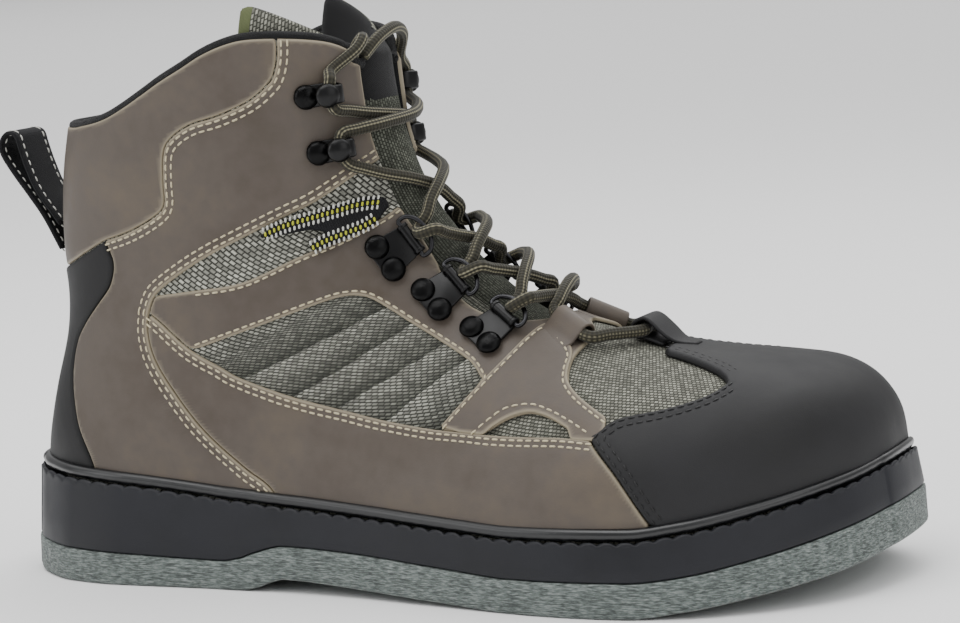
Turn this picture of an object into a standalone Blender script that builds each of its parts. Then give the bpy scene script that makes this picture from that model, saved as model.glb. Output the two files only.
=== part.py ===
"""Wading boot for the right foot: felt outsole, rubber midsole and a hollow laced upper.

Metres, +Z up, toe along +X, lateral side along -Y. The origin is on the floor
under the middle of the heel seat.
"""
import math
from collections import namedtuple

import bmesh
import bpy
from mathutils import Matrix, Vector
from mathutils.bvhtree import BVHTree

MM = 0.001
GAP = 0.3 * MM

# Sole sizes
LENGTH = 318 * MM
BALL_WIDTH = 127 * MM
HEEL_REST = 45 * MM
FELT = 11 * MM
WALL = 24 * MM
ARCH_LIFT = 4.5 * MM
TOE_SPRING = 14 * MM
WALL_FLARE = 2.0 * MM

# Welt sizes
WELT_SHELF = 7.5 * MM
WELT_THICK = 3.2 * MM
BEAD = 2.2 * MM

# Upper sizes
SHAFT_HEIGHT = 185 * MM
SHAFT_WIDTH = 80 * MM
INSTEP_HEIGHT = 114 * MM
TOE_HEIGHT = 71.5 * MM
UPPER_WALL = 2.2 * MM
PANEL = 1.3 * MM
TOP_PANEL = 1.9 * MM
CAP_WALL = 2.2 * MM
INSOLE = 4 * MM
INSOLE_LIFT = 0.7 * MM
TONGUE = 6 * MM

# Trim sizes
LACE = 4.2 * MM
LACE_LIFT = 6.3 * MM
LACE_BULGE = 3.5 * MM
RIVET = 7 * MM
RIVET_HEIGHT = 2 * MM
RIVET_PITCH = 9 * MM
CLIP_REACH = 10.5 * MM
CLIP_PLATE = 1.4 * MM
ROLLER = 3 * MM
ROLLER_LENGTH = 9 * MM
RING_WIRE = 1.6 * MM
RING_REACH = 6 * MM
HOOK_REACH = 13 * MM
HOOK_WIDTH = 6 * MM
HOOK_HEIGHT = 8.2 * MM
WEBBING = 1.5 * MM
PULL_WIDTH = 20 * MM
PULL_REACH = 27 * MM
PULL_RISE = 34 * MM

# Mesh density
SOLE_STEPS = 24
FORM_STEPS = 26
ARCH_STEPS = 8

# Share of the ball width below which an inset outline narrows in proportion
ROUND_END = 0.3
# How late a section leaves the sole's outline on its way to its widest place
SWELL_START = 2.0
# Where the toe's and the instep's heights lie among the side outlines' shares
TOE_SHARE = 0.38649
INSTEP_SHARE = 0.61622
# How far cutters reach across the boot
CUT_REACH = 1.2 * BALL_WIDTH

SoleRow = namedtuple("SoleRow", "at centre half")
# at is a share of the length, centre and half are shares of the ball width
SOLE_PLAN = [
    SoleRow(0.000, 0.000, 0.000),
    SoleRow(0.012, -0.004, 0.138),
    SoleRow(0.038, -0.004, 0.224),
    SoleRow(0.088, -0.006, 0.306),
    SoleRow(0.157, -0.008, 0.339),
    SoleRow(0.252, -0.014, 0.340),
    SoleRow(0.346, -0.031, 0.343),
    SoleRow(0.440, -0.047, 0.358),
    SoleRow(0.535, -0.057, 0.400),
    SoleRow(0.629, -0.057, 0.450),
    SoleRow(0.708, -0.049, 0.487),
    SoleRow(0.770, -0.035, 0.500),
    SoleRow(0.833, -0.014, 0.487),
    SoleRow(0.887, 0.014, 0.443),
    SoleRow(0.931, 0.038, 0.376),
    SoleRow(0.969, 0.061, 0.274),
    SoleRow(0.991, 0.087, 0.150),
    SoleRow(1.000, 0.102, 0.000),
]

ProfileRow = namedtuple("ProfileRow", "at arch spring felt wall")
# arch, spring, felt and wall are shares of ARCH_LIFT, TOE_SPRING, FELT and WALL
SOLE_PROFILE = [
    ProfileRow(0.00, 0.0, 0.00, 1.09, 1.06),
    ProfileRow(0.14, 0.0, 0.00, 1.00, 1.01),
    ProfileRow(0.29, 0.0, 0.00, 0.87, 0.88),
    ProfileRow(0.34, 0.0, 0.00, 0.91, 0.81),
    ProfileRow(0.365, 1.0, 0.00, 1.00, 0.56),
    ProfileRow(0.47, 0.6, 0.00, 1.07, 0.51),
    ProfileRow(0.58, 0.2, 0.00, 1.02, 0.52),
    ProfileRow(0.64, 0.0, 0.00, 1.00, 0.53),
    ProfileRow(0.77, 0.0, 0.00, 1.03, 0.54),
    ProfileRow(0.82, 0.0, 0.13, 1.00, 0.56),
    ProfileRow(0.91, 0.0, 0.46, 1.09, 0.56),
    ProfileRow(0.96, 0.0, 0.69, 1.17, 0.55),
    ProfileRow(1.00, 0.0, 1.00, 1.18, 0.58),
]

Section = namedtuple("Section", "ridge cap rise shaft base climb of lateral medial widest top low centre")
# ridge and base are shares of the upper's length. The ridge stands cap of the toe height,
# rise of the instep above that and shaft of the shaft above that; climb lifts the heel line.
# lateral and medial are shares of half the named width, widest is the share of the section
# from the base to its widest place, top and low are how square its two ends are.
SECTIONS = [
    Section(0.457, 1, 1, 1.296, 0.068, 0.885, "shaft", 1.00, 1.00, 0.48, 2.2, 2.2, 0.0),
    Section(0.449, 1, 1, 1.070, 0.058, 0.797, "shaft", 1.00, 1.00, 0.48, 2.2, 2.2, 0.0),
    Section(0.448, 1, 1, 0.887, 0.048, 0.709, "shaft", 0.98, 0.98, 0.47, 2.2, 2.2, 0.0),
    Section(0.452, 1, 1, 0.718, 0.041, 0.615, "shaft", 0.94, 0.94, 0.47, 2.2, 2.2, 0.0),
    Section(0.460, 1, 1, 0.549, 0.038, 0.520, "shaft", 0.90, 0.90, 0.46, 2.1, 2.2, 0.0),
    Section(0.472, 1, 1, 0.387, 0.041, 0.426, "shaft", 0.88, 0.88, 0.45, 2.1, 2.2, 0.0),
    Section(0.487, 1, 1, 0.246, 0.035, 0.324, "shaft", 0.88, 0.87, 0.44, 2.0, 2.2, 0.0),
    Section(0.503, 1, 1, 0.127, 0.015, 0.196, "shaft", 0.89, 0.87, 0.42, 2.0, 2.2, 0.0),
    Section(0.517, 1, 1, 0.056, 0.004, 0.095, "shaft", 0.90, 0.88, 0.41, 2.0, 2.3, 0.0),
    Section(0.528, 1, 1.000, 0, 0.000, 0.0, "shaft", 0.91, 0.89, 0.40, 2.0, 2.4, 0.0),
    Section(0.538, 1, 0.926, 0, 0.015, 0.0, "shaft", 0.92, 0.89, 0.39, 2.0, 2.3, 0.0),
    Section(0.551, 1, 0.840, 0, 0.054, 0.0, "shaft", 0.93, 0.89, 0.38, 2.0, 2.2, 0.0),
    Section(0.573, 1, 0.704, 0, 0.140, 0.0, "shaft", 0.96, 0.90, 0.36, 2.0, 2.0, 0.0),
    Section(0.609, 1, 0.523, 0, 0.289, 0.0, "sole", 1.04, 1.04, 0.34, 2.0, 2.0, 0.0),
    Section(0.655, 1, 0.365, 0, 0.437, 0.0, "sole", 1.05, 1.12, 0.30, 2.0, 2.0, 0.0),
    Section(0.715, 1, 0.225, 0, 0.576, 0.0, "sole", 1.02, 1.09, 0.25, 2.0, 2.0, 0.0),
    Section(0.777, 1, 0.111, 0, 0.695, 0.0, "sole", 1.01, 1.02, 0.20, 2.1, 2.0, 0.008),
    Section(0.837, 1, 0.042, 0, 0.794, 0.0, "sole", 1.01, 1.01, 0.20, 2.2, 2.0, 0.020),
    Section(0.889, 1.000, 0, 0, 0.866, 0.0, "sole", 1.01, 1.01, 0.20, 2.3, 2.0, 0.040),
    Section(0.936, 0.947, 0, 0, 0.912, 0.0, "sole", 1.01, 1.01, 0.20, 2.4, 2.0, 0.060),
    Section(0.969, 0.820, 0, 0, 0.949, 0.0, "sole", 1.01, 1.01, 0.20, 2.4, 2.0, 0.079),
    Section(0.990, 0.620, 0, 0, 0.975, 0.0, "sole", 1.00, 1.00, 0.20, 2.4, 2.0, 0.094),
    Section(0.999, 0.363, 0, 0, 0.992, 0.0, "sole", 1.00, 1.00, 0.20, 2.4, 2.0, 0.102),
    Section(1.000, 0.000, 0, 0, 1.000, 0.0, "sole", 1.00, 1.00, 0.20, 2.4, 2.0, 0.102),
]

# Outlines seen from the side: along is a share of the upper's length, up is a share of
# the shaft height above the floor
COLLAR_LINE = [
    (-0.100, 0.846), (0.070, 0.846), (0.118, 0.853), (0.152, 0.865), (0.180, 0.884), (0.208, 0.908),
    (0.234, 0.932), (0.262, 0.955), (0.286, 0.976), (0.312, 0.992), (0.338, 1.000), (0.378, 0.998),
    (0.412, 0.988), (0.430, 0.968), (0.437, 0.940), (0.520, 0.900),
]
ThroatRow = namedtuple("ThroatRow", "place half")
# The throat's half width along the ridge; place counts rows of SECTIONS
THROAT = [
    ThroatRow(0.0, 15 * MM),
    ThroatRow(2.0, 15 * MM),
    ThroatRow(4.0, 14.5 * MM),
    ThroatRow(6.0, 13.5 * MM),
    ThroatRow(8.0, 13 * MM),
    ThroatRow(10.0, 14 * MM),
    ThroatRow(11.5, 16.5 * MM),
    ThroatRow(12.7, 18.5 * MM),
    ThroatRow(13.3, 18 * MM),
    ThroatRow(13.7, 14 * MM),
    ThroatRow(13.9, 9 * MM),
    ThroatRow(14.0, 2 * MM),
]
TONGUE_SIDE = [
    (0.295, 1.075), (0.300, 0.950), (0.325, 0.850), (0.365, 0.750), (0.415, 0.630), (0.470, 0.535),
    (0.550, 0.445), (0.620, 0.410), (0.680, 0.400), (0.725, 0.420),
]
TONGUE_TOP = [(0.480, 0.940), (0.430, 0.968), (0.390, 1.002), (0.345, 1.038), (0.308, 1.059)]

# Seams shared by two panels, each from back to front or from the top down
COLLAR_SEAM = [
    (0.369, 1.100), (0.369, 0.989), (0.363, 0.937), (0.353, 0.914), (0.333, 0.889), (0.300, 0.867),
    (0.265, 0.852), (0.240, 0.828), (0.229, 0.801), (0.224, 0.748), (0.222, 0.709), (0.211, 0.688),
    (0.175, 0.659), (0.136, 0.640),
]
COUNTER_TOP = [(-0.100, 0.560), (0.000, 0.572), (0.057, 0.585), (0.136, 0.640)]
COUNTER_FRONT = [
    (0.136, 0.640), (0.142, 0.585), (0.131, 0.547), (0.090, 0.485), (0.067, 0.420), (0.063, 0.362),
    (0.079, 0.304), (0.103, 0.211), (0.110, 0.080),
]
ANKLE_TOP = [
    (0.500, 0.800), (0.455, 0.768), (0.446, 0.758), (0.397, 0.703), (0.358, 0.674), (0.314, 0.642),
    (0.266, 0.606), (0.227, 0.570), (0.200, 0.538), (0.190, 0.505),
]
ANKLE_FRONT = [
    (0.190, 0.505), (0.190, 0.468), (0.195, 0.425), (0.209, 0.383), (0.244, 0.308), (0.289, 0.231),
    (0.335, 0.186), (0.350, 0.080),
]
FOXING_TOP = [
    (0.190, 0.505), (0.203, 0.490), (0.240, 0.439), (0.277, 0.405), (0.306, 0.383), (0.371, 0.351),
    (0.427, 0.330), (0.483, 0.313), (0.538, 0.302), (0.595, 0.297), (0.648, 0.294), (0.700, 0.295),
    (0.738, 0.292),
]
CAP_REAR = [
    (0.840, 0.060), (0.804, 0.161), (0.774, 0.233), (0.738, 0.292), (0.745, 0.305), (0.764, 0.324),
    (0.808, 0.334), (0.843, 0.349), (0.853, 0.366), (0.847, 0.380), (0.828, 0.393), (0.786, 0.405),
    (0.757, 0.408), (0.742, 0.425), (0.735, 0.500),
]
EYESTAY_EDGE = [
    (0.254, 0.547), (0.309, 0.560), (0.372, 0.602), (0.416, 0.629), (0.455, 0.660), (0.530, 0.720),
    (0.660, 0.560), (0.650, 0.472), (0.695, 0.436), (0.687, 0.412), (0.692, 0.382), (0.713, 0.353),
    (0.737, 0.335), (0.730, 0.308),
]
SMALL_WINDOW = [(0.709, 0.308), (0.684, 0.324), (0.659, 0.331), (0.636, 0.322), (0.618, 0.306)]
SIDE_WINDOW = [
    (0.563, 0.315), (0.591, 0.377), (0.589, 0.388), (0.572, 0.412), (0.535, 0.444), (0.495, 0.481),
    (0.472, 0.503), (0.447, 0.524), (0.424, 0.528), (0.394, 0.517), (0.329, 0.482), (0.251, 0.441),
]
WEBBING_OUTLINE = [
    (0.335, 0.645), (0.360, 0.664), (0.400, 0.690), (0.440, 0.715), (0.462, 0.705), (0.468, 0.685),
    (0.455, 0.672), (0.416, 0.641), (0.385, 0.625),
]

Seat = namedtuple("Seat", "along up")
HOOK_SEATS = [Seat(0.395, 0.891), Seat(0.402, 0.789)]
HOOK_AIM = Seat(0.440, 0.010)
# The middle of each pair of rivets, from the top down
CLIP_SEATS = [Seat(0.466, 0.592), Seat(0.520, 0.515), Seat(0.581, 0.452)]

# Where the lace crosses behind the toe cap's tab
LACE_BAR = Seat(0.722, 0.440)
LACE_BAR_HALF = 6 * MM


def clear_scene():
    """Remove what the scene holds."""
    for thing in list(bpy.data.objects):
        bpy.data.objects.remove(thing, do_unlink=True)


def make_collections():
    """Make the collections for the boot and for its cutters."""
    found = []
    for name in ("wading_boot", "cutters"):
        group = bpy.data.collections.new(name)
        bpy.context.scene.collection.children.link(group)
        found.append(group)
    return found


def smooth_between(rows, at, key, value):
    """Read a column at a place, on a curve that never overshoots its rows."""
    places = [key(row) for row in rows]
    values = [value(row) for row in rows]
    at = min(max(at, places[0]), places[-1])
    i = 0
    while i < len(places) - 2 and at > places[i + 1]:
        i += 1
    steps = [b - a for a, b in zip(places, places[1:])]
    slopes = [(b - a) / s for a, b, s in zip(values, values[1:], steps)]

    def tangent(k):
        """Slope of the curve at row k."""
        if k == 0:
            return slopes[0]
        if k == len(slopes):
            return slopes[-1]
        a, b = slopes[k - 1], slopes[k]
        return 0.0 if a * b <= 0 else 2 * a * b / (a + b)

    step = steps[i]
    t = (at - places[i]) / step
    first = values[i] * (1 + 2 * t) * (1 - t) ** 2 + values[i + 1] * t * t * (3 - 2 * t)
    return first + step * (tangent(i) * t * (1 - t) ** 2 - tangent(i + 1) * t * t * (1 - t))


def profile(x, column):
    """Read a column of the sole's profile at a place x from the origin."""
    at = (x + HEEL_REST) / LENGTH
    return smooth_between(SOLE_PROFILE, at, lambda row: row.at, lambda row: getattr(row, column))


def ground_line(x):
    """Height of the felt's underside."""
    return ARCH_LIFT * profile(x, "arch") + TOE_SPRING * profile(x, "spring")


def felt_line(x):
    """Height of the felt's upper face."""
    return ground_line(x) + FELT * profile(x, "felt")


def wall_line(x):
    """Height of the sole wall's top edge, which is the welt's upper face."""
    return felt_line(x) + WALL * profile(x, "wall")


def seat_line(x):
    """Height of the midsole's upper face, under the welt."""
    return wall_line(x) - WELT_THICK


def plan(share, inset):
    """Lateral and medial point of the sole's outline, inset, at a share of its length."""
    x = inset + share * (LENGTH - 2 * inset) - HEEL_REST
    centre = smooth_between(SOLE_PLAN, share, lambda row: row.at, lambda row: row.centre) * BALL_WIDTH
    half = smooth_between(SOLE_PLAN, share, lambda row: row.at, lambda row: row.half) * BALL_WIDTH
    end = SOLE_PLAN[1].at
    if share < end:
        half = SOLE_PLAN[1].half * BALL_WIDTH * math.sqrt(1 - (1 - share / end) ** 2)
    end = 1 - SOLE_PLAN[-2].at
    if share > 1 - end:
        half = SOLE_PLAN[-2].half * BALL_WIDTH * math.sqrt(max(0, 1 - (1 - (1 - share) / end) ** 2))
    half -= inset * min(1, half / (ROUND_END * BALL_WIDTH))
    return x, centre - half, centre + half


def plan_stations():
    """Shares of the length that crowd towards the two ends."""
    return [(1 - math.cos(math.pi * k / SOLE_STEPS)) / 2 for k in range(SOLE_STEPS + 1)]


def outline_ring(inset, height):
    """A closed ring round the sole: lateral side to the toe, then medial side back."""
    lateral = []
    medial = []
    for share in plan_stations():
        x, low, high = plan(share, inset)
        lateral.append(Vector((x, low, height(x))))
        medial.append(Vector((x, high, height(x))))
    return lateral + medial[-2:0:-1]


def mesh_object(name, mesh, group):
    """Put a mesh into the scene as a named object."""
    thing = bpy.data.objects.new(name, mesh)
    group.objects.link(thing)
    return thing


def finish_mesh(shape, name):
    """Weld a bmesh, turn its faces outwards and make it a mesh."""
    bmesh.ops.remove_doubles(shape, verts=shape.verts, dist=0.01 * MM)
    bmesh.ops.dissolve_degenerate(shape, dist=0.01 * MM, edges=shape.edges)
    bmesh.ops.triangulate(shape, faces=shape.faces)
    bmesh.ops.recalc_face_normals(shape, faces=shape.faces)
    mesh = bpy.data.meshes.new(name)
    shape.to_mesh(mesh)
    shape.free()
    return mesh


def ring_loft(name, rings, closed=False):
    """Loft rings of equal count round the sole; the ends are closed across, or joined."""
    shape = bmesh.new()
    verts = [[shape.verts.new(point) for point in ring] for ring in rings]
    count = len(rings[0])
    pairs = list(zip(verts, verts[1:]))
    if closed:
        pairs.append((verts[-1], verts[0]))
    for lower, upper in pairs:
        for k in range(count):
            j = (k + 1) % count
            shape.faces.new((lower[k], lower[j], upper[j], upper[k]))
    if not closed:
        for ring in (verts[0], verts[-1]):
            half = count // 2
            for k in range(half):
                corners = [ring[k], ring[k + 1], ring[(count - k - 1) % count], ring[(count - k) % count]]
                shape.faces.new([c for n, c in enumerate(corners) if c not in corners[:n]])
    return finish_mesh(shape, name)


def run(share):
    """Place along the upper, from its heel to its toe."""
    return WELT_SHELF + share * (LENGTH - 2 * WELT_SHELF) - HEEL_REST


def section_value(place, column):
    """Read a number of the section table at a place counted in rows."""
    rows = SECTIONS
    i = min(int(place), len(rows) - 2)
    t = place - i
    values = [getattr(rows[min(max(i + k, 0), len(rows) - 1)], column) for k in (-1, 0, 1, 2)]
    slope_in = (values[2] - values[0]) / 2
    slope_out = (values[3] - values[1]) / 2
    first = values[1] * (1 + 2 * t) * (1 - t) ** 2 + values[2] * t * t * (3 - 2 * t)
    return first + slope_in * t * (1 - t) ** 2 - slope_out * t * t * (1 - t)


def edge_at(x):
    """Lateral and medial edge of the upper's base at a place x."""
    share = (x + HEEL_REST - WELT_SHELF) / (LENGTH - 2 * WELT_SHELF)
    return plan(min(max(share, 0), 1), WELT_SHELF)[1:]


def widest_halves(place, foot):
    """Half widths of a section at its widest, lateral then medial."""
    near = min(int(place), len(SECTIONS) - 2)
    halves = []
    for side, edge in zip(("lateral", "medial"), foot):
        one, two = [getattr(row, side) * (SHAFT_WIDTH / 2 if row.of == "shaft" else edge)
                    for row in SECTIONS[near:near + 2]]
        halves.append(one + (two - one) * (place - near))
    return halves


def section_ring(place):
    """Points of one section: up the lateral side to the ridge, then down the medial side."""
    ridge_x = run(min(section_value(place, "ridge"), 1))
    base_x = run(min(max(section_value(place, "base"), 0), 1))
    sole = seat_line(ridge_x)
    ridge_z = sole + section_value(place, "cap") * (TOE_HEIGHT - sole)
    ridge_z += section_value(place, "rise") * (INSTEP_HEIGHT - TOE_HEIGHT)
    ridge_z += section_value(place, "shaft") * (SHAFT_HEIGHT - INSTEP_HEIGHT)
    heel = seat_line(base_x)
    climb = section_value(place, "climb")
    base_z = heel + max(climb, 0) * (SHAFT_HEIGHT - heel)
    centre = section_value(place, "centre") * BALL_WIDTH
    edges = edge_at(base_x)
    foot = (centre - edges[0], edges[1] - centre)
    middle = section_value(place, "widest")
    top = 2 / section_value(place, "top")
    low = 2 / section_value(place, "low")
    sides = []
    for number, (wide, hand) in enumerate(zip(widest_halves(place, foot), (-1, 1))):
        points = []
        for k in range(ARCH_STEPS + 1):
            turn = math.pi * k / ARCH_STEPS
            if turn > math.pi / 2:
                share = middle + (1 - middle) * max(-math.cos(turn), 0) ** top
                half = wide * max(math.sin(turn), 0) ** top
            elif climb > 0.001:
                share = middle * (1 - max(math.cos(turn), 0) ** low)
                half = wide * math.sin(turn) ** low
            else:
                share = middle * (1 - max(math.cos(turn), 0))
                edge = edge_at(base_x + (ridge_x - base_x) * share)[number]
                blend = (share / middle) ** SWELL_START
                half = max(hand * (edge - centre), 0) * (1 - blend) + wide * blend
            points.append(Vector((base_x + (ridge_x - base_x) * share, centre + hand * half,
                                  base_z + (ridge_z - base_z) * share)))
        points[-1].y = centre
        sides.append(points)
    return sides[0] + sides[1][-2::-1]


def form_mesh(name, offset, sink=4 * MM, rise=0.0):
    """The closed outer form of the upper, moved out by an offset, sunk below its base and raised."""
    last = len(SECTIONS) - 1
    rings = [section_ring(last * k / FORM_STEPS) for k in range(FORM_STEPS + 1)]
    if rise:
        rings.insert(0, [point + Vector((0, 0, rise)) for point in rings[0]])
    shape = bmesh.new()
    verts = []
    for ring in rings:
        closed = (ring[0] - ring[-1]).length < 0.05 * MM
        drop = Vector((0, 0, 0)) if closed and ring is not rings[-1] else Vector((0, 0, -sink))
        full = [ring[0] + drop] + ring + [ring[-1] + drop]
        verts.append([shape.verts.new(point) for point in full])
    count = len(verts[0])
    for one, two in zip(verts, verts[1:]):
        for k in range(count):
            j = (k + 1) % count
            shape.faces.new((one[k], two[k], two[j], one[j]))
    shape.faces.new(verts[0][1:-1])
    bmesh.ops.remove_doubles(shape, verts=shape.verts, dist=0.05 * MM)
    bmesh.ops.dissolve_degenerate(shape, dist=0.05 * MM, edges=shape.edges)
    bmesh.ops.triangulate(shape, faces=shape.faces)
    bmesh.ops.recalc_face_normals(shape, faces=shape.faces)
    shape.normal_update()
    moved = [(v, v.co + v.normal * offset) for v in shape.verts]
    for v, place in moved:
        v.co = place
    mesh = bpy.data.meshes.new(name)
    shape.to_mesh(mesh)
    shape.free()
    return mesh


def side_height(up):
    """Height of a share: the toe, the instep and the shaft each scale their own part of it."""
    rows = [(0.0, 0.0), (TOE_SHARE, TOE_HEIGHT), (INSTEP_SHARE, INSTEP_HEIGHT), (1.0, SHAFT_HEIGHT)]
    for (low, below), (high, above) in zip(rows, rows[1:]):
        if up < high or high == 1.0:
            return below + (up - low) / (high - low) * (above - below)


def side_point(along, up):
    """A point of an outline seen from the side."""
    return run(along), side_height(up)


def side_prism(name, outline, low=-CUT_REACH, high=CUT_REACH):
    """A prism across the boot whose side view is an outline in metres."""
    shape = bmesh.new()
    near = [shape.verts.new((x, low, z)) for x, z in outline]
    far = [shape.verts.new((x, high, z)) for x, z in outline]
    shape.faces.new(near)
    shape.faces.new(far[::-1])
    for k in range(len(outline)):
        j = (k + 1) % len(outline)
        shape.faces.new((near[k], far[k], far[j], near[j]))
    return finish_mesh(shape, name)


def add_boolean(thing, cutter, kind):
    """Cut, join or keep the common part with another object."""
    step = thing.modifiers.new(cutter.name, "BOOLEAN")
    step.object = cutter
    step.operation = kind
    step.solver = "EXACT"
    return step


def add_cutter(name, mesh, group):
    """Put a cutter into its collection, out of the render."""
    cutter = mesh_object(name, mesh, group)
    cutter.hide_render = True
    cutter.display_type = "WIRE"
    return cutter


def seat_outline(above):
    """The line of the midsole's upper face from heel to toe, lifted."""
    count = 18
    points = []
    for k in range(count + 1):
        x = -HEEL_REST - 10 * MM + (LENGTH + 20 * MM) * k / count
        points.append((x, seat_line(x) + above))
    return points


def make_sole(parts):
    """Felt outsole, rubber midsole, welt and insole."""
    pieces = {}
    felt = ring_loft("outsole_felt", [
        outline_ring(1.0 * MM, ground_line),
        outline_ring(0, lambda x: ground_line(x) + 1.2 * MM),
        outline_ring(0.4 * MM, lambda x: felt_line(x)),
    ])
    pieces["outsole_felt"] = mesh_object("outsole_felt", felt, parts)
    midsole = ring_loft("midsole", [
        outline_ring(0.8 * MM, lambda x: felt_line(x) + GAP),
        outline_ring(0.8 * MM + WALL_FLARE, seat_line),
    ])
    pieces["midsole"] = mesh_object("midsole", midsole, parts)
    inner = WELT_SHELF - 3 * GAP
    rim = WALL_FLARE
    welt = ring_loft("welt", [
        outline_ring(inner, lambda x: seat_line(x) + GAP),
        outline_ring(rim, lambda x: seat_line(x) + GAP),
        outline_ring(rim, wall_line),
        outline_ring(inner - 2 * BEAD, wall_line),
        outline_ring(inner - 1.6 * BEAD, lambda x: wall_line(x) + 0.7 * BEAD),
        outline_ring(inner - BEAD, lambda x: wall_line(x) + BEAD),
        outline_ring(inner - 0.2 * BEAD, lambda x: wall_line(x) + 0.7 * BEAD),
    ], closed=True)
    pieces["welt"] = mesh_object("welt", welt, parts)
    inside = WELT_SHELF + UPPER_WALL + 2.0 * MM
    insole = ring_loft("insole", [
        outline_ring(inside, lambda x: seat_line(x) + INSOLE_LIFT),
        outline_ring(inside, lambda x: seat_line(x) + INSOLE_LIFT + INSOLE),
    ])
    pieces["insole"] = mesh_object("insole", insole, parts)
    return pieces


def throat_mesh():
    """The throat's opening as a slab along the ridge, wide as its table says."""
    stations = []
    count = 18
    for k in range(count + 1):
        place = THROAT[-1].place * (1 - (1 - k / count) ** 1.4)
        half = smooth_between(THROAT, place, lambda row: row.place, lambda row: row.half)
        stations.append((section_ring(place)[ARCH_STEPS], half))
    shape = bmesh.new()
    rings = []
    for k, (ridge, half) in enumerate(stations):
        ahead = stations[min(k + 1, count)][0] - stations[max(k - 1, 0)][0]
        out = Vector((-ahead.z, 0, ahead.x)).normalized()
        side = Vector((0, half, 0))
        low, high = ridge - out * 13 * MM, ridge + out * 25 * MM
        rings.append([shape.verts.new(p) for p in (low - side, high - side, high + side, low + side)])
    for one, two in zip(rings, rings[1:]):
        for k in range(4):
            j = (k + 1) % 4
            shape.faces.new((one[k], two[k], two[j], one[j]))
    shape.faces.new(rings[0])
    shape.faces.new(rings[-1][::-1])
    return finish_mesh(shape, "throat")


def make_upper(parts, cutters):
    """The hollow shell of mesh and lining, open at collar, throat and underneath."""
    upper = mesh_object("upper", form_mesh("upper", 0), parts)
    hollow = add_cutter("hollow", form_mesh("hollow", -UPPER_WALL, 8 * MM), cutters)
    sky = [side_point(*p) for p in COLLAR_LINE]
    high = 1.6 * SHAFT_HEIGHT
    top = [(sky[-1][0], high), (sky[0][0], high)]
    mouth = add_cutter("mouth", side_prism("mouth", sky + top), cutters)
    throat = add_cutter("throat", throat_mesh(), cutters)
    below = seat_outline(GAP)
    floor = add_cutter("under", side_prism("under", below + [(run(1.1), -WALL), (run(-0.2), -WALL)]), cutters)
    add_boolean(upper, hollow, "DIFFERENCE")
    add_boolean(upper, mouth, "DIFFERENCE")
    add_boolean(upper, throat, "DIFFERENCE")
    add_boolean(upper, floor, "DIFFERENCE")
    return upper


def make_tongue(parts, cutters):
    """The padded tongue under the throat, standing above the collar."""
    tongue = mesh_object("tongue", form_mesh("tongue", -UPPER_WALL - GAP), parts)
    core = add_cutter("tongue_core", form_mesh("tongue_core", -UPPER_WALL - GAP - TONGUE, rise=3 * TONGUE), cutters)
    outline = [side_point(*p) for p in TONGUE_SIDE]
    outline += [side_point(0.800, 0.500), side_point(0.800, TONGUE_TOP[0][1])]
    outline += [side_point(*p) for p in TONGUE_TOP]
    band = add_cutter("tongue_band", side_prism("tongue_band", outline), cutters)
    add_boolean(tongue, core, "DIFFERENCE")
    add_boolean(tongue, band, "INTERSECT")
    return tongue


def seam(points, shift):
    """A seam line in metres, moved to its left by a distance."""
    line = [Vector(side_point(*p)) for p in points]
    moved = []
    for k, point in enumerate(line):
        ahead = line[min(k + 1, len(line) - 1)] - line[max(k - 1, 0)]
        left = Vector((-ahead.y, ahead.x)).normalized()
        moved.append(tuple(point + left * shift))
    return moved


def panel_floor(start, end):
    """The line just above the welt's bead, from one share of the length to another."""
    count = max(2, round(abs(end - start) * 24))
    places = [run(start + (end - start) * k / count) for k in range(count + 1)]
    return [(x, wall_line(x) + BEAD + 2 * GAP) for x in places]


def make_panel(name, outline, thick, sides, shared, parts, cutters):
    """A panel over the upper, cut between two of its larger forms by a side outline."""
    reach = {"lateral": (-CUT_REACH, -GAP), "medial": (GAP, CUT_REACH), "both": (-CUT_REACH, CUT_REACH)}
    panel = mesh_object(name, form_mesh(name, GAP + thick), parts)
    region = add_cutter(name + "_region", side_prism(name + "_region", outline, *reach[sides]), cutters)
    add_boolean(panel, region, "INTERSECT")
    for cutter in shared:
        add_boolean(panel, cutter, "DIFFERENCE")
    return panel


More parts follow.
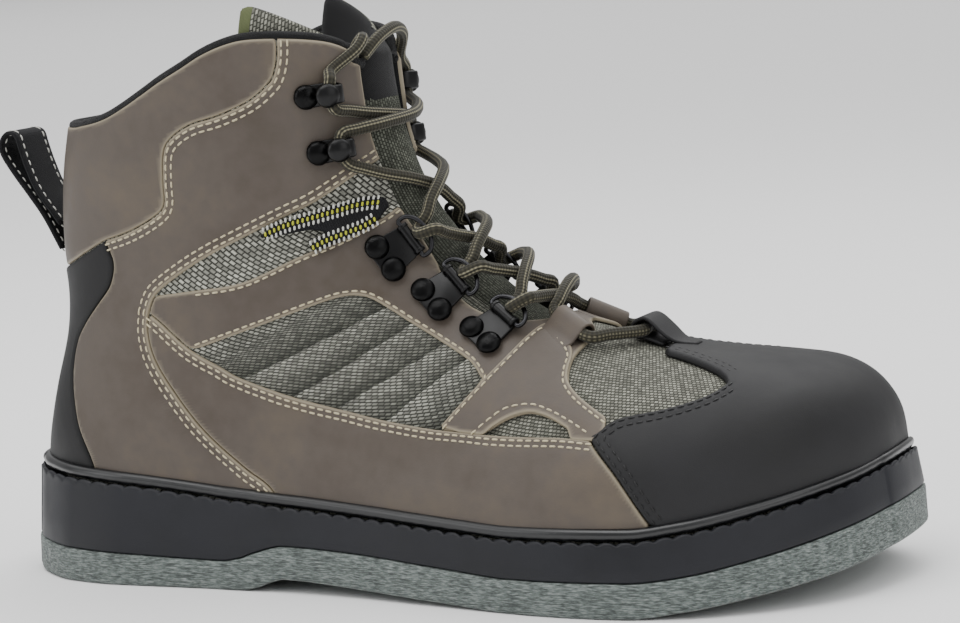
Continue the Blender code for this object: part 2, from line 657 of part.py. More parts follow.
def make_panels(parts, cutters):
    """Toe cap, heel counter and the tan panels."""
    skin = add_cutter("skin", form_mesh("skin", GAP, 8 * MM), cutters)
    mouth = bpy.data.objects["mouth"]
    throat = bpy.data.objects["throat"]
    half = GAP / 2
    pieces = {}
    outline = [side_point(-0.1, 1.1)] + seam(COUNTER_TOP, half)[:-1] + seam(COLLAR_SEAM, -half)[::-1]
    pieces["collar_panel"] = make_panel("collar_panel", outline, PANEL, "both", [skin, mouth], parts, cutters)
    outline = seam(COUNTER_TOP, -half)[:-1] + seam(COUNTER_FRONT, -half)[:-1]
    outline += panel_floor(0.103, -0.1)
    pieces["heel_counter"] = make_panel("heel_counter", outline, TOP_PANEL, "both", [skin], parts, cutters)
    outline = seam(CAP_REAR, -half)[1:] + [side_point(1.1, 0.5)] + panel_floor(1.1, 0.815)
    pieces["toe_cap"] = make_panel("toe_cap", outline, CAP_WALL, "both", [skin], parts, cutters)
    for hand in ("lateral", "medial"):
        name = "ankle_panel_" + hand
        outline = seam(COLLAR_SEAM, half) + seam(COUNTER_FRONT, half)[1:-1] + panel_floor(0.106, 0.345)
        outline += seam(ANKLE_FRONT, -half)[-2::-1] + seam(ANKLE_TOP, -half)[-2::-1] + [side_point(0.5, 1.1)]
        pieces[name] = make_panel(name, outline, TOP_PANEL, hand, [skin, mouth, throat], parts, cutters)
        name = "foxing_" + hand
        outline = seam(ANKLE_FRONT, half)[1:-1] + panel_floor(0.345, 0.805)
        outline += seam(CAP_REAR, half)[1:3] + seam(FOXING_TOP, -half)[-1:0:-1]
        pieces[name] = make_panel(name, outline, TOP_PANEL, hand, [skin], parts, cutters)
        name = "eyestay_" + hand
        outline = seam(ANKLE_TOP, half)[-2:] + seam(FOXING_TOP, half)[1:3] + seam(SIDE_WINDOW, 0)[::-1]
        outline += seam(FOXING_TOP, half)[8:10] + seam(SMALL_WINDOW, 0)[::-1]
        outline += seam(FOXING_TOP, half)[11:12] + seam(EYESTAY_EDGE, 0)[::-1]
        pieces[name] = make_panel(name, outline, PANEL, hand, [skin, mouth, throat], parts, cutters)
        name = "webbing_loop_" + hand
        outline = seam(WEBBING_OUTLINE, 0)
        pieces[name] = make_panel(name, outline, WEBBING, hand, [skin, mouth, throat], parts, cutters)
    return pieces


class Skin:
    """A form of the upper that pieces are seated on."""

    def __init__(self, offset):
        mesh = form_mesh("seat", offset)
        shape = bmesh.new()
        shape.from_mesh(mesh)
        self.tree = BVHTree.FromBMesh(shape)
        shape.free()
        bpy.data.meshes.remove(mesh)

    def from_side(self, seat, hand):
        """Point and normal where a line across the boot meets the form."""
        x, z = side_point(seat.along, seat.up)
        start = Vector((x, hand * 0.2, z))
        point, normal, _, _ = self.tree.ray_cast(start, Vector((0, -hand, 0)))
        return point, normal

    def near(self, along, up, y):
        """Nearest point of the form to a rough place."""
        x, z = side_point(along, up)
        return self.tree.find_nearest(Vector((x, y, z)))[0]


def seat_matrix(skin, seat, aim, hand, foot):
    """A frame on the skin, clear of it over a foot of corner points: Z out, X to another place."""
    point, normal = skin.from_side(seat, hand)
    target, _ = skin.from_side(aim, hand)
    ahead = target - point
    x_axis = (ahead - normal * ahead.dot(normal)).normalized()
    y_axis = normal.cross(x_axis)
    turn = Matrix((x_axis, y_axis, normal)).transposed()
    lift = 0.0
    for x, y in foot:
        corner = point + turn @ Vector((x, y, 0))
        near, _, _, _ = skin.tree.find_nearest(corner)
        lift = max(lift, (near - corner).dot(normal))
    return Matrix.Translation(point + normal * lift) @ turn.to_4x4()


def foot_points(back, front, wide):
    """Corner and middle points of a foot plate."""
    return [(back + (front - back) * k / 4, wide * n / 2) for k in range(5) for n in range(-2, 3)]


def prism_body(shape, outline, low, high):
    """Add a prism to a bmesh from an outline in X and Z, across Y."""
    near = [shape.verts.new((x, low, z)) for x, z in outline]
    far = [shape.verts.new((x, high, z)) for x, z in outline]
    shape.faces.new(near)
    shape.faces.new(far[::-1])
    for k in range(len(outline)):
        j = (k + 1) % len(outline)
        shape.faces.new((near[k], far[k], far[j], near[j]))


def stud(name, radius, top_radius, height, place, group, sides=8):
    """A round stud standing on Z at a place, as a cutter that will be joined."""
    shape = bmesh.new()
    bmesh.ops.create_cone(shape, cap_ends=True, segments=sides, radius1=radius, radius2=top_radius, depth=height)
    bmesh.ops.translate(shape, verts=shape.verts, vec=Vector(place) + Vector((0, 0, height / 2)))
    return add_cutter(name, finish_mesh(shape, name), group)


def make_hook_mesh(cutters):
    """A speed hook: a riveted foot with an open hook at its end."""
    shape = bmesh.new()
    plate = 1.3 * MM
    lip = 0.5 * HOOK_REACH
    outline = [
        (-0.2 * HOOK_REACH, 0), (HOOK_REACH, 0), (HOOK_REACH + plate, 0.3 * HOOK_HEIGHT),
        (HOOK_REACH + plate, 0.7 * HOOK_HEIGHT), (HOOK_REACH, HOOK_HEIGHT), (lip, HOOK_HEIGHT),
        (lip, HOOK_HEIGHT - plate), (HOOK_REACH - plate, HOOK_HEIGHT - plate),
        (HOOK_REACH - plate, plate), (-0.2 * HOOK_REACH, plate),
    ]
    prism_body(shape, outline, -HOOK_WIDTH / 2, HOOK_WIDTH / 2)
    body = mesh_object("hook_body", finish_mesh(shape, "hook_body"), cutters)
    head = stud("hook_head", 4.2 * MM, 3.2 * MM, 2.6 * MM, (0, 0, 0), cutters)
    add_boolean(body, head, "UNION")
    return baked(body, "hook")


def make_clip_mesh(cutters):
    """A ring clip: a plate with two rivets and a roller at its front."""
    shape = bmesh.new()
    bottom = -0.6 * RIVET
    half = ROLLER_LENGTH / 2
    wide = RIVET_PITCH / 2 + 0.3 * RIVET
    corners = [(bottom, -wide), (0.4 * RIVET, -wide), (CLIP_REACH, -half), (CLIP_REACH, half),
               (0.4 * RIVET, wide), (bottom, wide)]
    low = [shape.verts.new((x, y, 0)) for x, y in corners]
    top = [shape.verts.new((x, y, CLIP_PLATE)) for x, y in corners]
    shape.faces.new(low[::-1])
    shape.faces.new(top)
    for k in range(len(corners)):
        j = (k + 1) % len(corners)
        shape.faces.new((low[k], low[j], top[j], top[k]))
    body = mesh_object("clip_body", finish_mesh(shape, "clip_body"), cutters)
    for k, y in enumerate((-RIVET_PITCH / 2, RIVET_PITCH / 2)):
        head = stud("clip_rivet_%d" % k, RIVET / 2, RIVET / 3, RIVET_HEIGHT, (0, y, CLIP_PLATE / 2), cutters)
        add_boolean(body, head, "UNION")
    shape = bmesh.new()
    bmesh.ops.create_cone(shape, cap_ends=True, segments=8, radius1=ROLLER / 2, radius2=ROLLER / 2,
                          depth=ROLLER_LENGTH)
    bmesh.ops.rotate(shape, verts=shape.verts, matrix=Matrix.Rotation(math.pi / 2, 3, "X"))
    bmesh.ops.translate(shape, verts=shape.verts, vec=(CLIP_REACH, 0, ROLLER / 2 + 0.2 * MM))
    roller = add_cutter("clip_roller", finish_mesh(shape, "clip_roller"), cutters)
    add_boolean(body, roller, "UNION")
    return baked(body, "clip")


def baked(thing, name):
    """The evaluated mesh of an object, as a mesh of its own; the object is removed."""
    bpy.context.view_layer.update()
    graph = bpy.context.evaluated_depsgraph_get()
    mesh = bpy.data.meshes.new_from_object(thing.evaluated_get(graph))
    mesh.name = name
    bpy.data.objects.remove(thing, do_unlink=True)
    return mesh


def tube(name, points, width, group, resolution=1):
    """A round cord or wire through points."""
    curve = bpy.data.curves.new(name, "CURVE")
    curve.dimensions = "3D"
    curve.bevel_depth = width / 2
    curve.bevel_resolution = resolution
    curve.use_fill_caps = True
    line = curve.splines.new("POLY")
    line.points.add(len(points) - 1)
    for knot, point in zip(line.points, points):
        knot.co = (*point, 1)
    return mesh_object(name, curve, group)


def welded_tube(name, points, width, cutters):
    """A round cord or wire as a closed mesh."""
    mesh = baked(tube(name, points, width, cutters), name)
    shape = bmesh.new()
    shape.from_mesh(mesh)
    return finish_mesh(shape, name)


def smooth_path(points, steps):
    """Points along a smooth curve through the given ones."""
    path = []
    for k in range(len(points) - 1):
        a, b = points[k], points[k + 1]
        before = points[max(k - 1, 0)]
        after = points[min(k + 2, len(points) - 1)]
        for n in range(steps):
            t = n / steps
            first = a * (1 + 2 * t) * (1 - t) ** 2 + b * t * t * (3 - 2 * t)
            path.append(first + (b - before) / 2 * t * (1 - t) ** 2 - (after - a) / 2 * t * t * (1 - t))
    path.append(points[-1])
    return path


def make_hardware(parts, cutters):
    """Speed hooks, ring clips and their wire rings, on both sides."""
    skin = Skin(GAP + TOP_PANEL + GAP)
    foot = foot_points(-0.32 * HOOK_REACH, HOOK_REACH, 4.2 * MM)
    hook_mesh = make_hook_mesh(cutters)
    pieces = {}
    turns = [{} for _ in HOOK_SEATS + CLIP_SEATS]
    inside = Vector((HOOK_REACH - LACE / 2 - 2 * MM, 0, HOOK_HEIGHT / 2))
    number = 1
    for hand in (-1, 1):
        for row, seat in enumerate(HOOK_SEATS):
            hook = mesh_object("hook_%d" % number, hook_mesh, parts)
            aim = Seat(HOOK_AIM.along, seat.up + HOOK_AIM.up)
            hook.matrix_world = seat_matrix(skin, seat, aim, hand, foot)
            rise = Vector((0, -hand * (HOOK_WIDTH + LACE + 2.6 * MM) / 2, 0))
            turns[-1 - row][hand] = [hook.matrix_world @ (inside + k * rise) for k in (-1, 0, 1)]
            pieces[hook.name] = hook
            number += 1
    skin = Skin(GAP + PANEL + GAP)
    foot = foot_points(-0.6 * RIVET, CLIP_REACH, RIVET_PITCH / 2 + 0.3 * RIVET)
    clip_mesh = make_clip_mesh(cutters)
    number = 1
    lift = ROLLER / 2 + 0.2 * MM
    end = ROLLER_LENGTH / 2
    bow = [Vector((CLIP_REACH, end + GAP, lift)), Vector((CLIP_REACH, end + RING_WIRE, lift)),
           Vector((CLIP_REACH + 0.5 * RING_REACH, end + 0.9 * RING_WIRE, lift)),
           Vector((CLIP_REACH + 0.9 * RING_REACH, 0.7 * end, lift)),
           Vector((CLIP_REACH + RING_REACH, 0, lift))]
    wire = bow + [Vector((p.x, -p.y, p.z)) for p in bow[-2::-1]]
    ring_mesh = welded_tube("ring", wire, RING_WIRE, cutters)
    beyond = Vector((CLIP_REACH + RING_REACH + RING_WIRE / 2 + LACE / 2 + GAP, 0, lift + 1.2 * MM))
    for hand in (-1, 1):
        for row, seat in enumerate(CLIP_SEATS):
            place = seat_matrix(skin, seat, Seat(seat.along + 0.02, seat.up + 0.025), hand, foot)
            clip = mesh_object("clip_%d" % number, clip_mesh, parts)
            clip.matrix_world = place
            pieces[clip.name] = clip
            ring = mesh_object("ring_%d" % number, ring_mesh, parts)
            ring.matrix_world = place
            turns[len(CLIP_SEATS) - 1 - row][hand] = [place @ beyond]
            pieces[ring.name] = ring
            number += 1
    return pieces, turns


def make_laces(parts, cutters, turns):
    """The crossed runs of the lace between its turning points, joined where they cross."""
    near = Skin(LACE_LIFT)
    far = Skin(LACE_LIFT + LACE_BULGE)
    runs = []
    for start in (-1, 1):
        points = [near.near(LACE_BAR.along, LACE_BAR.up, 0),
                  near.near(LACE_BAR.along - 0.012, LACE_BAR.up, start * LACE_BAR_HALF)]
        hand = start
        for number, row in enumerate(turns):
            stops = row[hand]
            if number:
                middle = (points[-1] + stops[0]) / 2
                middle = far.tree.find_nearest(Vector((middle.x, 0, middle.z)))[0]
                before = near.tree.find_nearest((points[-1] + middle) / 2)[0]
                after = near.tree.find_nearest((middle + stops[0]) / 2)[0]
                points += [before, middle, after]
            points += stops
            hand = -hand
        runs.append(welded_tube("lace_run", smooth_path(points, 2), LACE, cutters))
    lace = mesh_object("lace_crossings", runs[0], parts)
    other = add_cutter("lace_other", runs[1], cutters)
    add_boolean(lace, other, "UNION")
    return lace


def make_pull_loop(parts):
    """The webbing loop at the back of the shaft."""
    back = Skin(GAP + PANEL + GAP + WEBBING / 2)
    low = back.near(-0.05, 0.600, 0)
    high = back.near(-0.05, 0.700, 0)
    path = [low, low + Vector((-0.25 * PULL_REACH, 0, 0.12 * PULL_RISE)),
            low + Vector((-0.62 * PULL_REACH, 0, 0.50 * PULL_RISE)),
            low + Vector((-0.90 * PULL_REACH, 0, 0.88 * PULL_RISE)),
            low + Vector((-0.82 * PULL_REACH, 0, PULL_RISE)),
            low + Vector((-0.58 * PULL_REACH, 0, 0.95 * PULL_RISE)),
            high + Vector((-0.22 * PULL_REACH, 0, 0.22 * PULL_RISE)), high]
    line = smooth_path(path, 3)
    shape = bmesh.new()
    rings = []
    for k, point in enumerate(line):
        ahead = line[min(k + 1, len(line) - 1)] - line[max(k - 1, 0)]
        out = Vector((-ahead.z, 0, ahead.x)).normalized() * WEBBING / 2
        side = Vector((0, PULL_WIDTH / 2, 0))
        rings.append([shape.verts.new(point + a * out + b * side)
                      for a, b in ((1, 1), (1, -1), (-1, -1), (-1, 1))])
    for one, two in zip(rings, rings[1:]):
        for k in range(4):
            j = (k + 1) % 4
            shape.faces.new((one[k], one[j], two[j], two[k]))
    shape.faces.new(rings[0][::-1])
    shape.faces.new(rings[-1])
    return mesh_object("pull_loop", finish_mesh(shape, "pull_loop"), parts)


def colour(thing, name, rgb, rough, metal=0.0):
    """Give a piece its own material."""
    material = bpy.data.materials.new(name)
    material.use_nodes = True
    shader = material.node_tree.nodes["Principled BSDF"]
    shader.inputs["Base Color"].default_value = (*rgb, 1)
    shader.inputs["Roughness"].default_value = rough
    shader.inputs["Metallic"].default_value = metal
    thing.data.materials.append(material)


def main():
    """Build the boot."""
    clear_scene()
    parts, cutters = make_collections()
    sole = make_sole(parts)
    upper = make_upper(parts, cutters)
    tongue = make_tongue(parts, cutters)
    panels = make_panels(parts, cutters)
    hardware, turns = make_hardware(parts, cutters)
    lace = make_laces(parts, cutters, turns)
    loop = make_pull_loop(parts)
    colour(sole["outsole_felt"], "felt", (0.16, 0.2, 0.19), 0.95)
    colour(sole["midsole"], "sole_rubber", (0.015, 0.017, 0.02), 0.5)
    colour(sole["welt"], "welt_rubber", (0.012, 0.014, 0.017), 0.35)
    colour(sole["insole"], "insole_foam", (0.05, 0.05, 0.05), 0.9)
    colour(upper, "mesh_fabric", (0.18, 0.18, 0.15), 0.85)
    colour(tongue, "tongue_fabric", (0.12, 0.13, 0.1), 0.85)
    for name, panel in panels.items():
        if name in ("toe_cap", "heel_counter"):
            colour(panel, name + "_rubber", (0.018, 0.018, 0.018), 0.6)
        elif name.startswith("webbing"):
            colour(panel, name + "_webbing", (0.02, 0.02, 0.02), 0.8)
        else:
            colour(panel, name + "_leather", (0.17, 0.145, 0.115), 0.55)
    for name, piece in hardware.items():
        if not piece.data.materials:
            colour(piece, name + "_metal", (0.02, 0.02, 0.022), 0.3, 0.7)
    colour(lace, "lace_cord", (0.05, 0.048, 0.035), 0.75)
    colour(loop, "pull_loop_webbing", (0.015, 0.015, 0.015), 0.8)


main()
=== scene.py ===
"""Wading boot, dressed: knit upper, synthetic leather overlays, rubber cap and rand, felt sole.

Metres, toe along +X, lateral side along -Y, origin on the floor under the heel seat.
"""
import logging
import math
from dataclasses import dataclass, field
from enum import Enum

import bmesh
import bpy
import numpy as np
from mathutils import Matrix, Vector
from mathutils.bvhtree import BVHTree


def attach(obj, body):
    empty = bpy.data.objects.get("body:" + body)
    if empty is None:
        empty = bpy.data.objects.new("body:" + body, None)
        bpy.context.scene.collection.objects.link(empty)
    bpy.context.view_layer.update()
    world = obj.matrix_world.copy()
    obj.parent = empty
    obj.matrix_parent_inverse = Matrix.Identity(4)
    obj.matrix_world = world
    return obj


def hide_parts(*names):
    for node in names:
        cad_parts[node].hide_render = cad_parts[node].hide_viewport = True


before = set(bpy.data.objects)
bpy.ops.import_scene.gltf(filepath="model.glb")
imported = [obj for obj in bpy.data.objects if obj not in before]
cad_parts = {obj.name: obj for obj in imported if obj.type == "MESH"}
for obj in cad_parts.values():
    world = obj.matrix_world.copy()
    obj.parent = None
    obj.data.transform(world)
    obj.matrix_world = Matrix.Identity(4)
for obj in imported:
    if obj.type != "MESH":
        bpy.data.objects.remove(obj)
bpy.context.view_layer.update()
LOG = logging.getLogger("wading_boot")
MM = 0.001
BODY = "root"
GAP = 0.3 * MM

Line = list[tuple[float, float]]


class Hand(Enum):
    """The side of the boot that a piece is on."""

    LATERAL = -1
    MEDIAL = 1


@dataclass(frozen=True)
class SoleRow:
    """A station of the sole's outline: centre and half are shares of the ball width."""

    at: float
    centre: float
    half: float


@dataclass(frozen=True)
class ProfileRow:
    """A station of the sole's side view, in shares of the named heights."""

    at: float
    arch: float
    spring: float
    felt: float
    wall: float


@dataclass(frozen=True)
class Section:
    """One section of the last, from the heel line or the sole up to the ridge."""

    ridge: float
    cap: float
    rise: float
    shaft: float
    base: float
    climb: float
    of: str
    lateral: float
    medial: float
    widest: float
    top: float
    low: float
    centre: float


SOLE_PLAN = [
    SoleRow(0.000, 0.000, 0.000), SoleRow(0.012, -0.004, 0.138), SoleRow(0.038, -0.004, 0.224),
    SoleRow(0.088, -0.006, 0.306), SoleRow(0.157, -0.008, 0.339), SoleRow(0.252, -0.014, 0.340),
    SoleRow(0.346, -0.031, 0.343), SoleRow(0.440, -0.047, 0.358), SoleRow(0.535, -0.057, 0.400),
    SoleRow(0.629, -0.057, 0.450), SoleRow(0.708, -0.049, 0.487), SoleRow(0.770, -0.035, 0.500),
    SoleRow(0.833, -0.014, 0.487), SoleRow(0.887, 0.014, 0.443), SoleRow(0.931, 0.038, 0.376),
    SoleRow(0.969, 0.061, 0.274), SoleRow(0.991, 0.087, 0.150), SoleRow(1.000, 0.102, 0.000),
]
SOLE_PROFILE = [
    ProfileRow(0.00, 0.0, 0.00, 1.09, 1.06), ProfileRow(0.14, 0.0, 0.00, 1.00, 1.01),
    ProfileRow(0.285, 0.0, 0.00, 0.88, 0.88), ProfileRow(0.307, 0.02, 0.00, 0.98, 0.81),
    ProfileRow(0.326, 0.25, 0.00, 1.08, 0.70), ProfileRow(0.343, 0.68, 0.00, 1.05, 0.615),
    ProfileRow(0.362, 1.0, 0.00, 1.02, 0.55), ProfileRow(0.47, 0.6, 0.00, 1.07, 0.51),
    ProfileRow(0.58, 0.2, 0.00, 1.02, 0.52), ProfileRow(0.64, 0.0, 0.00, 1.00, 0.53),
    ProfileRow(0.77, 0.0, 0.00, 1.03, 0.54), ProfileRow(0.82, 0.0, 0.13, 1.00, 0.56),
    ProfileRow(0.91, 0.0, 0.46, 1.09, 0.56), ProfileRow(0.96, 0.0, 0.69, 1.17, 0.55),
    ProfileRow(1.00, 0.0, 1.00, 1.18, 0.58),
]
SECTIONS = [
    Section(0.457, 1, 1, 1.296, 0.068, 0.885, "shaft", 1.00, 1.00, 0.48, 2.2, 2.2, 0.0),
    Section(0.449, 1, 1, 1.070, 0.058, 0.797, "shaft", 1.00, 1.00, 0.48, 2.2, 2.2, 0.0),
    Section(0.448, 1, 1, 0.887, 0.048, 0.709, "shaft", 0.98, 0.98, 0.47, 2.2, 2.2, 0.0),
    Section(0.452, 1, 1, 0.718, 0.041, 0.615, "shaft", 0.94, 0.94, 0.47, 2.2, 2.2, 0.0),
    Section(0.460, 1, 1, 0.549, 0.038, 0.520, "shaft", 0.90, 0.90, 0.46, 2.1, 2.2, 0.0),
    Section(0.472, 1, 1, 0.387, 0.041, 0.426, "shaft", 0.88, 0.88, 0.45, 2.1, 2.2, 0.0),
    Section(0.487, 1, 1, 0.246, 0.035, 0.324, "shaft", 0.88, 0.87, 0.44, 2.0, 2.2, 0.0),
    Section(0.503, 1, 1, 0.127, 0.015, 0.196, "shaft", 0.89, 0.87, 0.42, 2.0, 2.2, 0.0),
    Section(0.517, 1, 1, 0.056, 0.004, 0.095, "shaft", 0.90, 0.88, 0.41, 2.0, 2.3, 0.0),
    Section(0.528, 1, 1.000, 0, 0.000, 0.0, "shaft", 0.91, 0.89, 0.40, 2.0, 2.4, 0.0),
    Section(0.538, 1, 0.926, 0, 0.015, 0.0, "shaft", 0.92, 0.89, 0.39, 2.0, 2.3, 0.0),
    Section(0.551, 1, 0.840, 0, 0.054, 0.0, "shaft", 0.93, 0.89, 0.38, 2.0, 2.2, 0.0),
    Section(0.573, 1, 0.704, 0, 0.140, 0.0, "shaft", 0.96, 0.90, 0.36, 2.0, 2.0, 0.0),
    Section(0.609, 1, 0.523, 0, 0.289, 0.0, "sole", 1.04, 1.04, 0.34, 2.0, 2.0, 0.0),
    Section(0.655, 1, 0.365, 0, 0.437, 0.0, "sole", 1.05, 1.12, 0.30, 2.0, 2.0, 0.0),
    Section(0.715, 1, 0.225, 0, 0.576, 0.0, "sole", 1.02, 1.09, 0.25, 2.0, 2.0, 0.0),
    Section(0.777, 1, 0.111, 0, 0.695, 0.0, "sole", 1.01, 1.02, 0.20, 2.1, 2.0, 0.008),
    Section(0.837, 1, 0.042, 0, 0.794, 0.0, "sole", 1.01, 1.01, 0.20, 2.2, 2.0, 0.020),
    Section(0.889, 1.000, 0, 0, 0.866, 0.0, "sole", 1.01, 1.01, 0.20, 2.3, 2.0, 0.040),
    Section(0.936, 0.947, 0, 0, 0.912, 0.0, "sole", 1.01, 1.01, 0.20, 2.4, 2.0, 0.060),
    Section(0.969, 0.820, 0, 0, 0.949, 0.0, "sole", 1.01, 1.01, 0.20, 2.4, 2.0, 0.079),
    Section(0.990, 0.620, 0, 0, 0.975, 0.0, "sole", 1.00, 1.00, 0.20, 2.4, 2.0, 0.094),
    Section(0.999, 0.363, 0, 0, 0.992, 0.0, "sole", 1.00, 1.00, 0.20, 2.4, 2.0, 0.102),
    Section(1.000, 0.000, 0, 0, 1.000, 0.0, "sole", 1.00, 1.00, 0.20, 2.4, 2.0, 0.102),
]

# Outlines seen from the side, as shares of the upper's length and of the shaft height
COLLAR_LINE: Line = [
    (-0.100, 0.846), (0.070, 0.846), (0.118, 0.853), (0.152, 0.865), (0.180, 0.884), (0.208, 0.908),
    (0.234, 0.932), (0.262, 0.955), (0.286, 0.976), (0.312, 0.992), (0.338, 1.000), (0.378, 0.998),
    (0.412, 0.988), (0.430, 0.968), (0.437, 0.940), (0.520, 0.900),
]
THROAT: Line = [
    (-1.0, 15.0), (0.0, 15.0), (2.0, 15.0), (4.0, 14.5), (6.0, 13.5), (8.0, 13.0), (10.0, 14.0),
    (11.5, 16.5), (12.7, 18.5), (13.3, 18.0), (13.7, 14.0), (13.9, 9.0), (14.0, 2.0),
]
TONGUE_SIDE: Line = [
    (0.331, 1.054), (0.324, 0.990), (0.325, 0.900), (0.340, 0.820), (0.368, 0.740), (0.415, 0.630),
    (0.470, 0.535), (0.550, 0.445), (0.620, 0.410), (0.680, 0.400), (0.725, 0.420),
]
TONGUE_TOP: Line = [
    (0.520, 0.930), (0.480, 0.948), (0.455, 0.964), (0.425, 0.990), (0.395, 1.018), (0.365, 1.042),
    (0.342, 1.056), (0.331, 1.052),
]
COLLAR_SEAM: Line = [
    (0.369, 1.100), (0.369, 0.989), (0.363, 0.937), (0.353, 0.914), (0.333, 0.889), (0.300, 0.867),
    (0.265, 0.852), (0.240, 0.828), (0.229, 0.801), (0.224, 0.748), (0.222, 0.709), (0.211, 0.688),
    (0.175, 0.659), (0.136, 0.640),
]
COUNTER_TOP: Line = [(-0.100, 0.560), (0.000, 0.572), (0.057, 0.585), (0.136, 0.640)]
COUNTER_FRONT: Line = [
    (0.136, 0.640), (0.145, 0.607), (0.144, 0.580), (0.136, 0.552), (0.118, 0.522), (0.097, 0.487),
    (0.080, 0.450), (0.072, 0.405), (0.072, 0.355), (0.080, 0.300), (0.103, 0.211), (0.110, 0.080),
]
ANKLE_TOP: Line = [
    (0.500, 0.800), (0.455, 0.768), (0.446, 0.758), (0.397, 0.703), (0.358, 0.674), (0.314, 0.642),
    (0.266, 0.606), (0.227, 0.570), (0.200, 0.538), (0.190, 0.505),
]
ANKLE_FRONT: Line = [
    (0.190, 0.505), (0.188, 0.468), (0.194, 0.425), (0.208, 0.383), (0.226, 0.343), (0.246, 0.305),
    (0.274, 0.262), (0.306, 0.221), (0.342, 0.178), (0.370, 0.080),
]
FOXING_TOP: Line = [
    (0.190, 0.505), (0.203, 0.490), (0.240, 0.439), (0.277, 0.405), (0.306, 0.383), (0.371, 0.351),
    (0.427, 0.330), (0.483, 0.313), (0.538, 0.302), (0.595, 0.297), (0.648, 0.294), (0.700, 0.295),
    (0.738, 0.292),
]
CAP_REAR: Line = [
    (0.840, 0.060), (0.804, 0.161), (0.774, 0.233), (0.738, 0.292), (0.745, 0.305), (0.764, 0.324),
    (0.808, 0.336), (0.845, 0.350), (0.862, 0.366), (0.858, 0.377), (0.850, 0.386), (0.850, 0.420),
    (0.850, 0.500),
]
# The cap's rear edge over the toes, seen from above: share of the length and half width in mm
CAP_TOP: Line = [
    (0.774, 12.0), (0.780, 14.0), (0.790, 14.6), (0.807, 16.4), (0.829, 19.8), (0.847, 23.2), (0.858, 26.5),
    (0.870, 33.0),
]
EYESTAY_EDGE: Line = [
    (0.254, 0.547), (0.309, 0.560), (0.372, 0.602), (0.416, 0.629), (0.455, 0.660), (0.530, 0.720),
    (0.640, 0.560), (0.652, 0.480), (0.674, 0.460), (0.694, 0.440), (0.688, 0.412), (0.691, 0.385),
    (0.702, 0.362), (0.727, 0.338), (0.760, 0.302),
]
LEG_ROW: Line = [
    (0.558, 0.300), (0.597, 0.371), (0.618, 0.410), (0.636, 0.447), (0.645, 0.452), (0.660, 0.438), (0.680, 0.415),
    (0.684, 0.392), (0.690, 0.372), (0.710, 0.348), (0.748, 0.318),
]
WEDGE_ROW: Line = [
    (0.598, 0.297), (0.614, 0.318), (0.632, 0.336), (0.658, 0.342), (0.682, 0.334), (0.710, 0.318), (0.730, 0.304),
]
SMALL_WINDOW: Line = [(0.709, 0.308), (0.684, 0.324), (0.659, 0.331), (0.636, 0.322), (0.618, 0.306)]
SIDE_WINDOW: Line = [
    (0.563, 0.315), (0.591, 0.377), (0.589, 0.388), (0.572, 0.412), (0.535, 0.444), (0.495, 0.481),
    (0.472, 0.503), (0.447, 0.524), (0.424, 0.528), (0.394, 0.517), (0.329, 0.482), (0.251, 0.441),
]


class SmoothLine:
    """A column of a table as a smooth line that never overshoots its rows."""

    def __init__(self, places: list[float], values: list[float]) -> None:
        """Work out the slopes.

        Args:
            places: where the rows are, rising.
            values: the value in each row.
        """
        self.places = np.array(places)
        self.values = np.array(values)
        slopes = np.diff(self.values) / np.diff(self.places)
        self.tangents = np.concatenate([slopes[:1], np.zeros(len(slopes) - 1), slopes[-1:]])
        before, after = slopes[:-1], slopes[1:]
        rising = before * after > 0
        total = np.where(rising, before + after, 1)
        self.tangents[1:-1] = np.where(rising, 2 * before * after / total, 0)

    def at(self, place: np.ndarray) -> np.ndarray:
        """Read the line.

        Args:
            place: where to read it.

        Returns:
            The values there.
        """
        place = np.clip(place, self.places[0], self.places[-1])
        i = np.clip(np.searchsorted(self.places, place, side="right") - 1, 0, len(self.places) - 2)
        step = self.places[i + 1] - self.places[i]
        t = (place - self.places[i]) / step
        ends = self.values[i] * (1 + 2 * t) * (1 - t) ** 2 + self.values[i + 1] * t * t * (3 - 2 * t)
        return ends + step * (self.tangents[i] * t * (1 - t) ** 2 - self.tangents[i + 1] * t * t * (1 - t))


